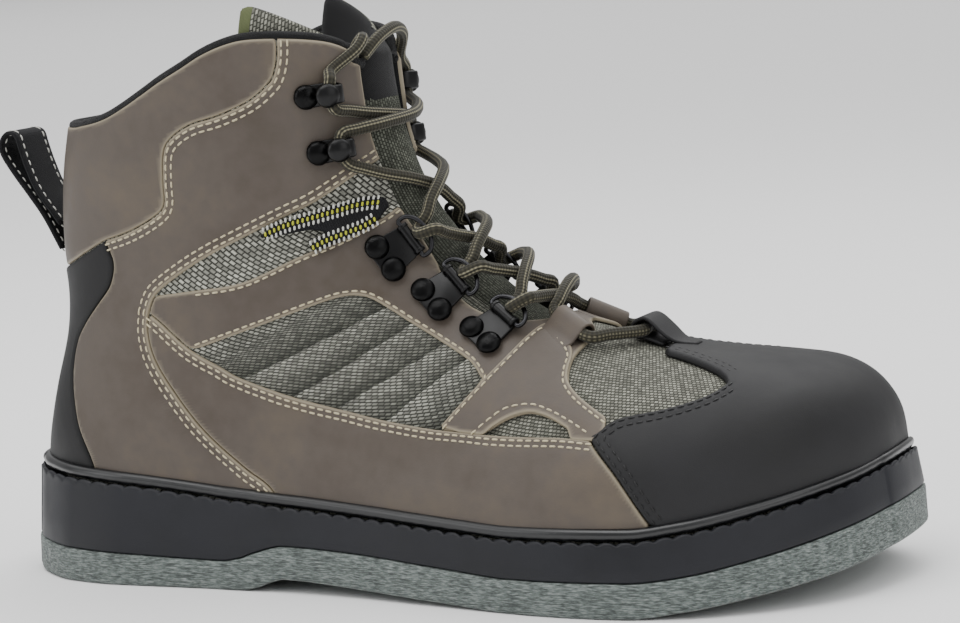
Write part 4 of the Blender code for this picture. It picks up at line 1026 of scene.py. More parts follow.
@dataclass(frozen=True)
class CoatedLeather(Finish):
    """Coated synthetic leather: nearly smooth, with soft clouds and a painted highlight along folded edges."""

    dark: str = "483f36"
    light: str = "60564a"
    # Colour of the painted highlight along a folded edge
    fold: str = "948a76"

    def dress(self, tree: bpy.types.NodeTree, shader: bpy.types.Node) -> None:
        """Add clouds over 40 mm, mottling over 5 mm, pores of 0.7 mm and a painted highlight line along the edge."""
        where = add_node(tree, "ShaderNodeTexCoord").outputs["Object"]
        cloud = add_node(tree, "ShaderNodeTexNoise", None, {"Vector": where, "Scale": 25, "Detail": 2})
        mottle = add_node(tree, "ShaderNodeTexNoise", None, {"Vector": where, "Scale": 200, "Detail": 4})
        mixed = add_node(tree, "ShaderNodeMix", {"data_type": "FLOAT"}, {
            0: 0.3, 2: cloud.outputs["Fac"], 3: mottle.outputs["Fac"]})
        tone = add_node(tree, "ShaderNodeValToRGB", {"stops": [
            (0.3, self.dark), (0.5, self.colour), (0.72, self.light)]}, {"Fac": mixed.outputs[0]})
        # The edge attribute mixes in a painted highlight along the rim
        edge = add_node(tree, "ShaderNodeAttribute", {"attribute_name": "edge"})
        painted_highlight_mix = add_node(tree, "ShaderNodeMix", {"data_type": "RGBA"}, {
            0: edge.outputs["Fac"], 6: tone.outputs["Color"], 7: linear(self.fold)})
        tree.links.new(painted_highlight_mix.outputs[2], shader.inputs["Base Color"])
        rough = add_node(tree, "ShaderNodeMapRange", None, {
            "Value": mottle.outputs["Fac"], "From Min": 0.3, "From Max": 0.7,
            "To Min": self.roughness - 0.05, "To Max": self.roughness + 0.07})
        tree.links.new(rough.outputs["Result"], shader.inputs["Roughness"])
        pores = add_node(tree, "ShaderNodeTexVoronoi", None, {"Vector": where, "Scale": 1400})
        first = add_node(tree, "ShaderNodeBump", None, {"Height": mottle.outputs["Fac"], "Strength": 0.35,
                                                        "Distance": 0.12 * MM})
        bump = add_node(tree, "ShaderNodeBump", None, {"Height": pores.outputs["Distance"], "Strength": 0.25,
                                                       "Distance": 0.08 * MM, "Normal": first.outputs["Normal"]})
        tree.links.new(bump.outputs["Normal"], shader.inputs["Normal"])


@dataclass(frozen=True)
class PressedFelt(Finish):
    """Needled felt: short fibres lying both ways, seen as a soft cross hatch."""

    dark: str = "474c4a"
    light: str = "8f9693"
    fibre: float = 0.35 * MM

    def dress(self, tree: bpy.types.NodeTree, shader: bpy.types.Node) -> None:
        """Add two layers of stretched noise at right angles and clumps of 4 mm."""
        where = add_node(tree, "ShaderNodeTexCoord").outputs["Object"]
        layers = []
        for turn in (4, -86):
            laid = add_node(tree, "ShaderNodeMapping", None, {
                "Vector": where, "Rotation": (0, math.radians(turn), 0),
                "Scale": (0.1 / self.fibre, 0.2 / self.fibre, 0.75 / self.fibre)})
            layers.append(add_node(tree, "ShaderNodeTexNoise", None, {
                "Vector": laid.outputs["Vector"], "Scale": 1, "Detail": 3, "Roughness": 0.6}))
        hatch = add_node(tree, "ShaderNodeMath", {"operation": "MAXIMUM"}, {
            0: layers[0].outputs["Fac"], 1: layers[1].outputs["Fac"]})
        clump = add_node(tree, "ShaderNodeTexNoise", None, {"Vector": where, "Scale": 240, "Detail": 4})
        mixed = add_node(tree, "ShaderNodeMix", {"data_type": "FLOAT"}, {
            0: 0.15, 2: hatch.outputs[0], 3: clump.outputs["Fac"]})
        tone = add_node(tree, "ShaderNodeValToRGB", {"stops": [
            (0.44, self.dark), (0.54, self.colour), (0.68, self.light)]}, {"Fac": mixed.outputs[0]})
        tree.links.new(tone.outputs["Color"], shader.inputs["Base Color"])
        bump = add_node(tree, "ShaderNodeBump", None, {"Height": mixed.outputs[0], "Strength": 1.0,
                                                       "Distance": 0.6 * MM})
        tree.links.new(bump.outputs["Normal"], shader.inputs["Normal"])


@dataclass(frozen=True)
class Knit(Finish):
    """Loops of yarn in rows, with painted light at a band's raised edge and painted shade darker beyond it."""

    gap: str = "14160f"
    # Colour of the painted light at a band's raised edge; the vamp and tongue meshes mix it at a fixed share
    light: str = "8d8d80"
    pitch: float = 2.9 * MM
    row: float = 1.4 * MM
    turn: float = 24.0
    depth: float = 0.5 * MM
    spare: float = 0.16

    def dress(self, tree: bpy.types.NodeTree, shader: bpy.types.Node) -> None:
        """Draw the loops as rounded bricks on the surface's own UV."""
        where = add_node(tree, "ShaderNodeTexCoord").outputs["UV"]
        laid = add_node(tree, "ShaderNodeMapping", None, {
            "Vector": where, "Rotation": (0, 0, math.radians(-self.turn))})
        stir = add_node(tree, "ShaderNodeTexNoise", None, {"Vector": where, "Scale": 300, "Detail": 1})
        moved = add_node(tree, "ShaderNodeVectorMath", {"operation": "MULTIPLY_ADD"}, {
            0: stir.outputs["Color"], 1: (0.3 * MM, 0.3 * MM, 0), 2: laid.outputs["Vector"]})
        loops = add_node(tree, "ShaderNodeTexBrick", {"offset": 0.5}, {
            "Vector": moved.outputs["Vector"], "Scale": 1 / self.pitch, "Brick Width": 1.0,
            "Row Height": self.row / self.pitch, "Mortar Size": self.spare, "Mortar Smooth": 1.0,
            "Color1": linear("707070"), "Color2": linear("ffffff"), "Mortar": linear("a0a0a0")})
        # The band attribute mixes painted light at a band's raised edge into painted shade towards the next band
        band = add_node(tree, "ShaderNodeAttribute", {"attribute_name": "band"})
        yarn = add_node(tree, "ShaderNodeMix", {"data_type": "RGBA"}, {
            0: band.outputs["Fac"], 6: linear(self.light), 7: linear(self.colour)})
        each = add_node(tree, "ShaderNodeMix", {"data_type": "RGBA", "blend_type": "MULTIPLY"}, {
            0: 0.75, 6: yarn.outputs[2], 7: loops.outputs["Color"]})
        tone = add_node(tree, "ShaderNodeMix", {"data_type": "RGBA"}, {
            0: loops.outputs["Fac"], 6: each.outputs[2], 7: linear(self.gap)})
        tree.links.new(tone.outputs[2], shader.inputs["Base Color"])
        fluff = add_node(tree, "ShaderNodeTexNoise", None, {"Vector": where, "Scale": 2500, "Detail": 1})
        high = add_node(tree, "ShaderNodeMath", {"operation": "MULTIPLY_ADD"}, {
            0: loops.outputs["Fac"], 1: -1.0, 2: fluff.outputs["Fac"]})
        bump = add_node(tree, "ShaderNodeBump", None, {"Height": high.outputs[0], "Strength": 0.9,
                                                       "Distance": self.depth})
        tree.links.new(bump.outputs["Normal"], shader.inputs["Normal"])


@dataclass(frozen=True)
class Braid(Finish):
    """Round braided cord: diagonal strands and two thin pale tracers along it."""

    light: str = "39362a"
    tracer: str = "8a856e"
    strand: float = 1.2 * MM
    around: float = 10.0

    def dress(self, tree: bpy.types.NodeTree, shader: bpy.types.Node) -> None:
        """Draw the strands on UVs of metres along and turns round."""
        where = add_node(tree, "ShaderNodeTexCoord").outputs["UV"]
        parts = add_node(tree, "ShaderNodeSeparateXYZ", None, {0: where})
        along = add_node(tree, "ShaderNodeMath", {"operation": "MULTIPLY"}, {
            0: parts.outputs["X"], 1: math.pi / self.strand})
        turn = add_node(tree, "ShaderNodeMath", {"operation": "MULTIPLY"}, {
            0: parts.outputs["Y"], 1: math.pi * self.around})
        waves = []
        for kind in ("ADD", "SUBTRACT"):
            both = add_node(tree, "ShaderNodeMath", {"operation": kind}, {0: along.outputs[0], 1: turn.outputs[0]})
            waves.append(add_node(tree, "ShaderNodeMath", {"operation": "SINE"}, {0: both.outputs[0]}))
        cross = add_node(tree, "ShaderNodeMath", {"operation": "MULTIPLY"}, {
            0: waves[0].outputs[0], 1: waves[1].outputs[0]})
        high = add_node(tree, "ShaderNodeMapRange", None, {"Value": cross.outputs[0], "From Min": -1.0,
                                                           "From Max": 1.0})
        tone = add_node(tree, "ShaderNodeMix", {"data_type": "RGBA"}, {
            0: high.outputs["Result"], 6: linear(self.colour), 7: linear(self.light)})
        double = add_node(tree, "ShaderNodeMath", {"operation": "MULTIPLY"}, {0: parts.outputs["Y"], 1: 6.0})
        near = add_node(tree, "ShaderNodeMath", {"operation": "PINGPONG"}, {0: double.outputs[0], 1: 1.0})
        off = add_node(tree, "ShaderNodeMath", {"operation": "SUBTRACT"}, {0: near.outputs[0], 1: 0.72})
        size = add_node(tree, "ShaderNodeMath", {"operation": "ABSOLUTE"}, {0: off.outputs[0]})
        line = add_node(tree, "ShaderNodeMath", {"operation": "LESS_THAN"}, {0: size.outputs[0], 1: 0.13})
        shown = add_node(tree, "ShaderNodeMath", {"operation": "MULTIPLY"}, {
            0: line.outputs[0], 1: high.outputs["Result"]})
        traced = add_node(tree, "ShaderNodeMix", {"data_type": "RGBA"}, {
            0: shown.outputs[0], 6: tone.outputs[2], 7: linear(self.tracer)})
        tree.links.new(traced.outputs[2], shader.inputs["Base Color"])
        bump = add_node(tree, "ShaderNodeBump", None, {"Height": high.outputs["Result"], "Strength": 0.8,
                                                       "Distance": 0.3 * MM})
        tree.links.new(bump.outputs["Normal"], shader.inputs["Normal"])


@dataclass(frozen=True)
class Woven(Finish):
    """Plain or ribbed cloth: threads crossing at a small pitch."""

    light: str = "33353a"
    pitch: float = 0.9 * MM
    depth: float = 0.15 * MM

    def dress(self, tree: bpy.types.NodeTree, shader: bpy.types.Node) -> None:
        """Draw the threads on the surface's own UV, with a soft cloud over them."""
        coords = add_node(tree, "ShaderNodeTexCoord")
        loops = add_node(tree, "ShaderNodeTexBrick", {"offset": 0.5}, {
            "Vector": coords.outputs["UV"], "Scale": 1 / self.pitch, "Brick Width": 1.0, "Row Height": 0.5,
            "Mortar Size": 0.14, "Mortar Smooth": 1.0})
        cloud = add_node(tree, "ShaderNodeTexNoise", None, {"Vector": coords.outputs["Object"], "Scale": 60,
                                                            "Detail": 5})
        yarn = add_node(tree, "ShaderNodeMix", {"data_type": "RGBA"}, {
            0: cloud.outputs["Fac"], 6: linear(self.colour), 7: linear(self.light)})
        tone = add_node(tree, "ShaderNodeMix", {"data_type": "RGBA"}, {
            0: loops.outputs["Fac"], 6: yarn.outputs[2], 7: linear(self.colour)})
        tree.links.new(tone.outputs[2], shader.inputs["Base Color"])
        high = add_node(tree, "ShaderNodeMath", {"operation": "SUBTRACT"}, {0: 1.0, 1: loops.outputs["Fac"]})
        bump = add_node(tree, "ShaderNodeBump", None, {"Height": high.outputs[0], "Strength": 0.8,
                                                       "Distance": self.depth})
        tree.links.new(bump.outputs["Normal"], shader.inputs["Normal"])


# Tan coated microfibre: satin, slightly mottled, with a painted highlight where an edge is folded over
TAN_LEATHER = CoatedLeather("tan_coated_leather", "534b44", roughness=0.5, specular=0.35)
# Charcoal thermoplastic film, moulded with a fine grain: matt with broad soft highlights
CAP_RUBBER = MouldedRubber("cap_film", "1b1b1c", roughness=0.58, light="262628", specular=0.3)
# The heel cup's film is a little bluer and glossier
COUNTER_RUBBER = MouldedRubber("counter_film", "161617", roughness=0.55, light="1f1f20", specular=0.25)
# Moulded midsole rubber: satin charcoal with a cool cast
MIDSOLE_RUBBER = MouldedRubber("midsole_rubber", "191a1e", roughness=0.5, light="232429", specular=0.3,
                               grain=0.5 * MM, crease=0.05 * MM)
# Extruded welt: smooth and glossy, so the bead carries a thin highlight
WELT_RUBBER = MouldedRubber("welt_rubber", "0f1012", roughness=0.34, coat=0.25, light="18191b",
                            grain=0.6 * MM, depth=0.02 * MM, crease=0.03 * MM)
# Pressed wool and polyester felt: dry, fibrous, grey-green
SOLE_FELT = PressedFelt("sole_felt", "656d6a", roughness=0.95, sheen=0.15, specular=0.15)
# Knitted polyester of the quarters, with painted light on each band's raised edge and painted shade towards the next
# band
QUARTER_KNIT = Knit("quarter_knit", "67695f", roughness=0.85, gap="23241e", light="cecec1", pitch=3.1 * MM,
                    row=1.8 * MM, spare=0.18, depth=0.6 * MM, sheen=0.1, specular=0.2)
# Open mesh of the vamp and the tongue's wings: light grey threads round small dark cells
VAMP_MESH = Knit("vamp_mesh", "96968a", roughness=0.85, gap="3c3d37", light="bdbdaf", pitch=2.0 * MM,
                 row=1.35 * MM, turn=0, depth=0.5 * MM, spare=0.2, specular=0.2)
# Dark olive mesh of the tongue's lower front
OLIVE_MESH = Knit("olive_mesh", "66695e", roughness=0.85, gap="33352e", light="84877b", pitch=1.7 * MM,
                  row=1.1 * MM, turn=0, depth=0.4 * MM, spare=0.2, specular=0.2)
# Brushed black tricot of the lining and the tongue's face
BLACK_LINING = Woven("black_lining", "101011", roughness=0.85, sheen=0.12, specular=0.15, light="1d1d1f")
# Pale olive binding at the tongue's edge
OLIVE_BINDING = Woven("olive_binding", "5d6444", roughness=0.8, specular=0.2, light="737b58", pitch=1.1 * MM)
# Woven nylon tape
BLACK_WEBBING = Woven("black_webbing", "0a0a0c", roughness=0.7, specular=0.25, light="1a1b1f", pitch=1.6 * MM,
                      depth=0.3 * MM)
# Foam board under a thin cloth
INSOLE_CLOTH = Woven("insole_cloth", "17181a", roughness=0.9, light="26282b", pitch=1.2 * MM)
# Steel stampings with baked black enamel
BLACK_ENAMEL = Finish("black_enamel", "050506", roughness=0.32, coat=0.08, specular=0.25)
# Plated steel wire, gone dark
DARK_WIRE = Finish("dark_plated_wire", "39393b", roughness=0.28, metallic=1.0)
# Bonded polyester sewing thread
BEIGE_THREAD = Finish("beige_thread", "c2b798", roughness=0.6)
BLACK_THREAD = Finish("black_thread", "060607", roughness=0.5)
WHITE_THREAD = Finish("white_thread", "c4c4bd", roughness=0.6)
YELLOW_THREAD = Finish("yellow_thread", "b3b52a", roughness=0.6)
# Round polyester lace
LACE_CORD = Braid("lace_cord", "1b1a13", roughness=0.7, sheen=0.1, specular=0.25)

SURFACE = LastSurface()
SHELL = LastSurface(spacing=1.85 * MM, steps=64)


def hang(thing: bpy.types.Object, slot: str, *nodes: str) -> None:
    """Hang a finished piece on the boot.

    Args:
        thing: the piece.
        slot: the record's material slot that it belongs to; not used.
        nodes: the CAD nodes that it stands for.
    """
    if nodes:
        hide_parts(*nodes)
    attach(thing, BODY)
    LOG.info("%s: %d faces", thing.name, len(thing.data.polygons))


def mark(mesh: bpy.types.Mesh, **values: np.ndarray) -> None:
    """Store named numbers at a mesh's points."""
    for name, value in values.items():
        layer = mesh.attributes.new(name, "FLOAT", "POINT")
        layer.data.foreach_set("value", value.astype(np.float32))


def dense(line: np.ndarray, step: float = 1.2 * MM) -> np.ndarray:
    """A line with points at an even spacing."""
    far = np.concatenate([[0], np.cumsum(np.linalg.norm(np.diff(line, axis=0), axis=1))])
    wanted = np.linspace(0, far[-1], max(2, int(far[-1] / step) + 1))
    return np.stack([np.interp(wanted, far, line[:, k]) for k in range(line.shape[1])], 1)


def joined(*parts: np.ndarray) -> np.ndarray:
    """A closed outline from its stretches, with even points."""
    loop = np.concatenate(parts)
    return dense(np.concatenate([loop, loop[:1]]))


class Repeater:
    """Geometry Nodes that set copies of a small shape along lines or at points."""

    def __init__(self) -> None:
        """Make the two trees."""
        self.rows = self.make_tree("stitch_rows", True)
        self.spots = self.make_tree("rivet_spots", False)

    @staticmethod
    def make_tree(name: str, spaced: bool) -> bpy.types.NodeTree:
        """Build a tree.

        Args:
            name: its name.
            spaced: copies at an even spacing along edges, or one at each point.

        Returns:
            The tree, with inputs Shape, Spacing and Finish.
        """
        tree = bpy.data.node_groups.new(name, "GeometryNodeTree")
        sockets = tree.interface
        sockets.new_socket("Geometry", in_out="INPUT", socket_type="NodeSocketGeometry")
        sockets.new_socket("Shape", in_out="INPUT", socket_type="NodeSocketObject")
        sockets.new_socket("Spacing", in_out="INPUT", socket_type="NodeSocketFloat")
        sockets.new_socket("Finish", in_out="INPUT", socket_type="NodeSocketMaterial")
        sockets.new_socket("Geometry", in_out="OUTPUT", socket_type="NodeSocketGeometry")
        start = add_node(tree, "NodeGroupInput")
        points = start.outputs["Geometry"]
        if spaced:
            curve = add_node(tree, "GeometryNodeMeshToCurve", None, {"Mesh": points})
            even = add_node(tree, "GeometryNodeResampleCurve", {"mode": "LENGTH"}, {
                "Curve": curve.outputs["Curve"], "Length": start.outputs["Spacing"]})
            points = even.outputs["Curve"]
        ahead = add_node(tree, "GeometryNodeInputNamedAttribute", {"data_type": "FLOAT_VECTOR"}, {"Name": "ahead"})
        up = add_node(tree, "GeometryNodeInputNamedAttribute", {"data_type": "FLOAT_VECTOR"}, {"Name": "up"})
        first = add_node(tree, "FunctionNodeAlignRotationToVector", {"axis": "X"}, {
            "Vector": ahead.outputs["Attribute"]})
        second = add_node(tree, "FunctionNodeAlignRotationToVector", {"axis": "Z", "pivot_axis": "X"}, {
            "Rotation": first.outputs["Rotation"], "Vector": up.outputs["Attribute"]})
        shape = add_node(tree, "GeometryNodeObjectInfo", None, {"Object": start.outputs["Shape"]})
        copies = add_node(tree, "GeometryNodeInstanceOnPoints", None, {
            "Points": points, "Instance": shape.outputs["Geometry"], "Rotation": second.outputs["Rotation"]})
        real = add_node(tree, "GeometryNodeRealizeInstances", None, {"Geometry": copies.outputs["Instances"]})
        done = add_node(tree, "GeometryNodeSetMaterial", None, {
            "Geometry": real.outputs["Geometry"], "Material": start.outputs["Finish"]})
        add_node(tree, "NodeGroupOutput", None, {"Geometry": done.outputs["Geometry"]})
        return tree

    def make(self, name: str, lines: list[np.ndarray], ups: list[np.ndarray], shape: bpy.types.Object,
             finish: Finish, spacing: float = 0.0, aheads: list[np.ndarray] | None = None) -> bpy.types.Object:
        """Set copies along lines, or at their points.

        Args:
            name: the piece's name.
            lines: lines of points in space.
            ups: the way up at each point.
            shape: what is repeated, along X with Z up.
            finish: its finish.
            spacing: distance between copies, or zero for one at each point.
            aheads: the way ahead at each point, where it isn't along the line.

        Returns:
            A plain mesh object.
        """
        mesh = bpy.data.meshes.new(name)
        points = np.concatenate(lines)
        if aheads is None:
            aheads = [np.gradient(line, axis=0) for line in lines]
        edges, base = [], 0
        for line in lines:
            edges += [(base + k, base + k + 1) for k in range(len(line) - 1)] if spacing else []
            base += len(line)
        mesh.from_pydata(points.tolist(), edges, [])
        for key, data in (("ahead", np.concatenate(aheads)), ("up", np.concatenate(ups))):
            unit = data / np.maximum(np.linalg.norm(data, axis=1, keepdims=True), 1e-9)
            mesh.attributes.new(key, "FLOAT_VECTOR", "POINT").data.foreach_set(
                "vector", unit.astype(np.float32).ravel())
        carrier = new_object(name + "_lines", mesh)
        tree = self.rows if spacing else self.spots
        step = carrier.modifiers.new("copies", "NODES")
        step.node_group = tree
        wanted = {"Shape": shape, "Spacing": spacing, "Finish": finish.material()}
        for item in tree.interface.items_tree:
            if item.name in wanted:
                step[item.identifier] = wanted[item.name]
        bpy.context.view_layer.update()
        graph = bpy.context.evaluated_depsgraph_get()
        result = bpy.data.meshes.new_from_object(carrier.evaluated_get(graph))
        result.name = name
        bpy.data.objects.remove(carrier, do_unlink=True)
        for key in ("ahead", "up"):
            if key in result.attributes:
                result.attributes.remove(result.attributes[key])
        result.polygons.foreach_set("use_smooth", np.ones(len(result.polygons), bool))
        if not result.materials:
            result.materials.append(finish.material())
        return new_object(name, result)


def capsule(name: str, length: float, radius: float, arch: float, sides: int = 6, steps: int = 5) -> bpy.types.Object:
    """A stitch: a short arched thread along X.

    Args:
        name: its name.
        length: its length.
        radius: half its thickness.
        arch: how far its ends dip under its middle.
        sides: points round it.
        steps: rings along it.

    Returns:
        An object that only carries the shape.
    """
    t = np.linspace(-1, 1, steps + 2)[1:-1]
    rings = []
    for at in t:
        around = np.arange(sides) * 2 * math.pi / sides
        wide = radius * math.sqrt(max(0.05, 1 - at ** 6))
        rings.append(np.stack([np.full(sides, at * length / 2), wide * np.cos(around),
                               wide * np.sin(around) * 0.8 - arch * at * at], 1))
    points = np.concatenate(rings + [[[-length / 2, 0, -arch]], [[length / 2, 0, -arch]]])
    faces = []
    for k in range(steps - 1):
        for j in range(sides):
            n = (j + 1) % sides
            faces.append((k * sides + j, (k + 1) * sides + j, (k + 1) * sides + n, k * sides + n))
    low, high = steps * sides, steps * sides + 1
    last = (steps - 1) * sides
    for j in range(sides):
        n = (j + 1) % sides
        faces += [(n, low, j), (last + j, high, last + n)]
    mesh = bpy.data.meshes.new(name)
    mesh.from_pydata(points.tolist(), [], faces)
    return outward(new_object(name, mesh))


def outward(thing: bpy.types.Object) -> bpy.types.Object:
    """Turn an object's faces outwards and shade it smooth."""
    shape = bmesh.new()
    shape.from_mesh(thing.data)
    bmesh.ops.recalc_face_normals(shape, faces=shape.faces)
    for face in shape.faces:
        face.smooth = True
    shape.to_mesh(thing.data)
    shape.free()
    return thing


REPEAT = Repeater()


@dataclass
class Row:
    """A line of stitches at a distance from a seam line."""

    line: np.ndarray
    distance: float
    thread: Finish


@dataclass
class Stitcher:
    """Sewing of the panels."""

    pitch: float = 3.1 * MM
    length: float = 2.55 * MM
    thick: float = 0.7 * MM
    arch: float = 0.3 * MM
    shape: bpy.types.Object | None = None

    def sew(self, name: str, slot: str, lines: list[np.ndarray], normals: list[np.ndarray],
            thread: Finish) -> None:
        """Sew rows along lines in space."""
        if self.shape is None:
            self.shape = capsule("stitch_shape", self.length, self.thick / 2, self.arch)
        piece = REPEAT.make(name, lines, normals, self.shape, thread, self.pitch)
        hang(piece, slot)

    def done(self) -> None:
        """Remove the shape that was repeated."""
        if self.shape is not None:
            bpy.data.objects.remove(self.shape, do_unlink=True)


STITCHER = Stitcher()


def laid(points: np.ndarray, height: float) -> tuple[np.ndarray, np.ndarray]:
    """Points moved onto the last at a height over it, and the last's normals there."""
    places, normals = [], []
    for point in points:
        near, normal, _, _ = SURFACE.tree.find_nearest(Vector(point))
        places.append(near + normal * height)
        normals.append(normal)
    ups = np.array([tuple(n) for n in normals])
    smooth = ups.copy()
    for _ in range(3):
        smooth[1:-1] = (smooth[:-2] + smooth[1:-1] * 2 + smooth[2:]) / 4
    return np.array([tuple(p) for p in places]), smooth


def beside(line: np.ndarray, distance: float, outline: np.ndarray) -> np.ndarray:
    """A line in space moved along the last, into an outline.

    Args:
        line: points in space.
        distance: how far it is moved.
        outline: a closed outline in X and Z.

    Returns:
        The moved points, without those that come too near the line again.
    """
    line = dense(line)
    if not distance:
        return line
    _, normals = laid(line, 0)
    ahead = np.gradient(line, axis=0)
    side = np.cross(normals, ahead)
    side /= np.maximum(np.linalg.norm(side, axis=1, keepdims=True), 1e-9)
    tries = [line + side * distance * sign for sign in (1, -1)]
    hits = [inside(t[:, [0, 2]], outline).sum() for t in tries]
    moved = tries[int(hits[1] > hits[0])]
    moved = moved[distance_to(moved, [line]) > 0.9 * distance]
    return dense(moved) if len(moved) > 3 else moved


@dataclass
class Panel:
    """An overlay cut from the last's surface, with rounded edges and sewn rows."""

    name: str
    outline: np.ndarray
    thick: float
    finish: Finish
    hand: Hand | None = None
    open_at_throat: bool = False
    open_at_mouth: bool = False
    rows: list[Row] = field(default_factory=list)
    rim: float = 0.9 * MM
    trough: float = 0.25 * MM
    base: float = GAP
    # Strength of the painted highlight along the rim
    painted_edge_highlight: float = 1.0
    slot: str = ""
    plan: Line = field(default_factory=list)

    def hands(self) -> list[Hand]:
        """The sides that it lies on."""
        return [self.hand] if self.hand else list(Hand)

    def cloth(self) -> Cloth:
        """Cut the panel from the last."""
        cloth = SURFACE.part(self.outline, self.hand)
        lines = [run for hand in self.hands() for run in SURFACE.in_space(self.outline, hand)]
        value = SURFACE.edge_value(cloth, self.outline, lines)
        if self.plan:
            shares, halves = np.array(self.plan).T
            x, y = cloth.points[:, 0], np.abs(cloth.points[:, 1])
            share = (x - SOLE.run(0)) / (SOLE.run(1) - SOLE.run(0))
            inner = np.minimum(np.interp(share, shares, halves) * MM - y, x - SOLE.run(shares[0]))
            value = np.minimum(value, -inner)
        if self.open_at_throat:
            value = np.maximum(value, cloth.values["throat"])
        if self.open_at_mouth:
            value = np.maximum(value, cloth.values["mouth"])
        cloth.values["rim"] = value
        cloth = cloth.below("rim", 0)
        for share in (0.12, 0.4, 1.0):
            cloth.split("rim", -share * self.rim)
        return cloth

    def build(self) -> bpy.types.Object:
        """Make the panel and its rows.

        Returns:
            The panel's object.
        """
        cloth = self.cloth()
        depth = np.clip(-cloth.values["rim"], 0, None)
        t = np.clip(depth / self.rim, 0, 1)
        outer = self.base + self.thick * (0.3 + 0.7 * np.sqrt(1 - (1 - t) ** 2))
        threads: dict[str, list[tuple[np.ndarray, np.ndarray]]] = {}
        for row in self.rows:
            for hand in self.hands():
                over = row.line.shape[1] == 3
                for run in [row.line * [1, hand.value, 1]] if over else SURFACE.in_space(row.line, hand):
                    if len(run) < 4:
                        continue
                    moved = beside(run, row.distance, self.outline)
                    if len(moved) < 4:
                        continue
                    places, ups = laid(moved, self.base + self.thick - 0.05 * MM)
                    keep = [(0, len(places))] if over else self.on_panel(laid(moved, 0)[0])
                    for first, last in keep:
                        threads.setdefault(row.thread.name, []).append((places[first:last], ups[first:last]))
                    gap = distance_to(cloth.points, [moved])
                    outer -= self.trough * np.exp(-(gap / (0.75 * MM)) ** 2)
        mesh = shell_mesh(self.name, cloth, outer, np.full(len(outer), self.base))
        # The edge attribute is a painted highlight along the rim, fading out about 1.2 mm in
        mark(mesh, edge=np.tile(self.painted_edge_highlight * np.clip(1.3 - depth / (0.9 * MM), 0, 1), 2))
        mesh.materials.append(self.finish.material())
        thing = new_object(self.name + "_piece", mesh)
        slot = self.slot or self.name
        hang(thing, slot, *([] if self.slot else [slot]))
        for thread in {row.thread.name: row.thread for row in self.rows}.values():
            found = threads.get(thread.name, [])
            if found:
                STITCHER.sew(self.name + "_stitches_" + thread.name, slot, [a for a, _ in found],
                             [b for _, b in found], thread)
        return thing

    def on_panel(self, places: np.ndarray) -> list[tuple[int, int]]:
        """The stretches of a line that lie on the open part of the boot."""
        good = inside(places[:, [0, 2]], self.outline)
        if self.open_at_mouth:
            good &= SURFACE.read(places, "mouth") < -1.2 * MM
        if self.open_at_throat:
            good &= SURFACE.read(places, "throat") < -1.5 * MM
        runs, start = [], None
        for k, ok in enumerate(list(good) + [False]):
            if ok and start is None:
                start = k
            elif not ok and start is not None:
                if k - start > 3:
                    runs.append((start, k))
                start = None
        return runs


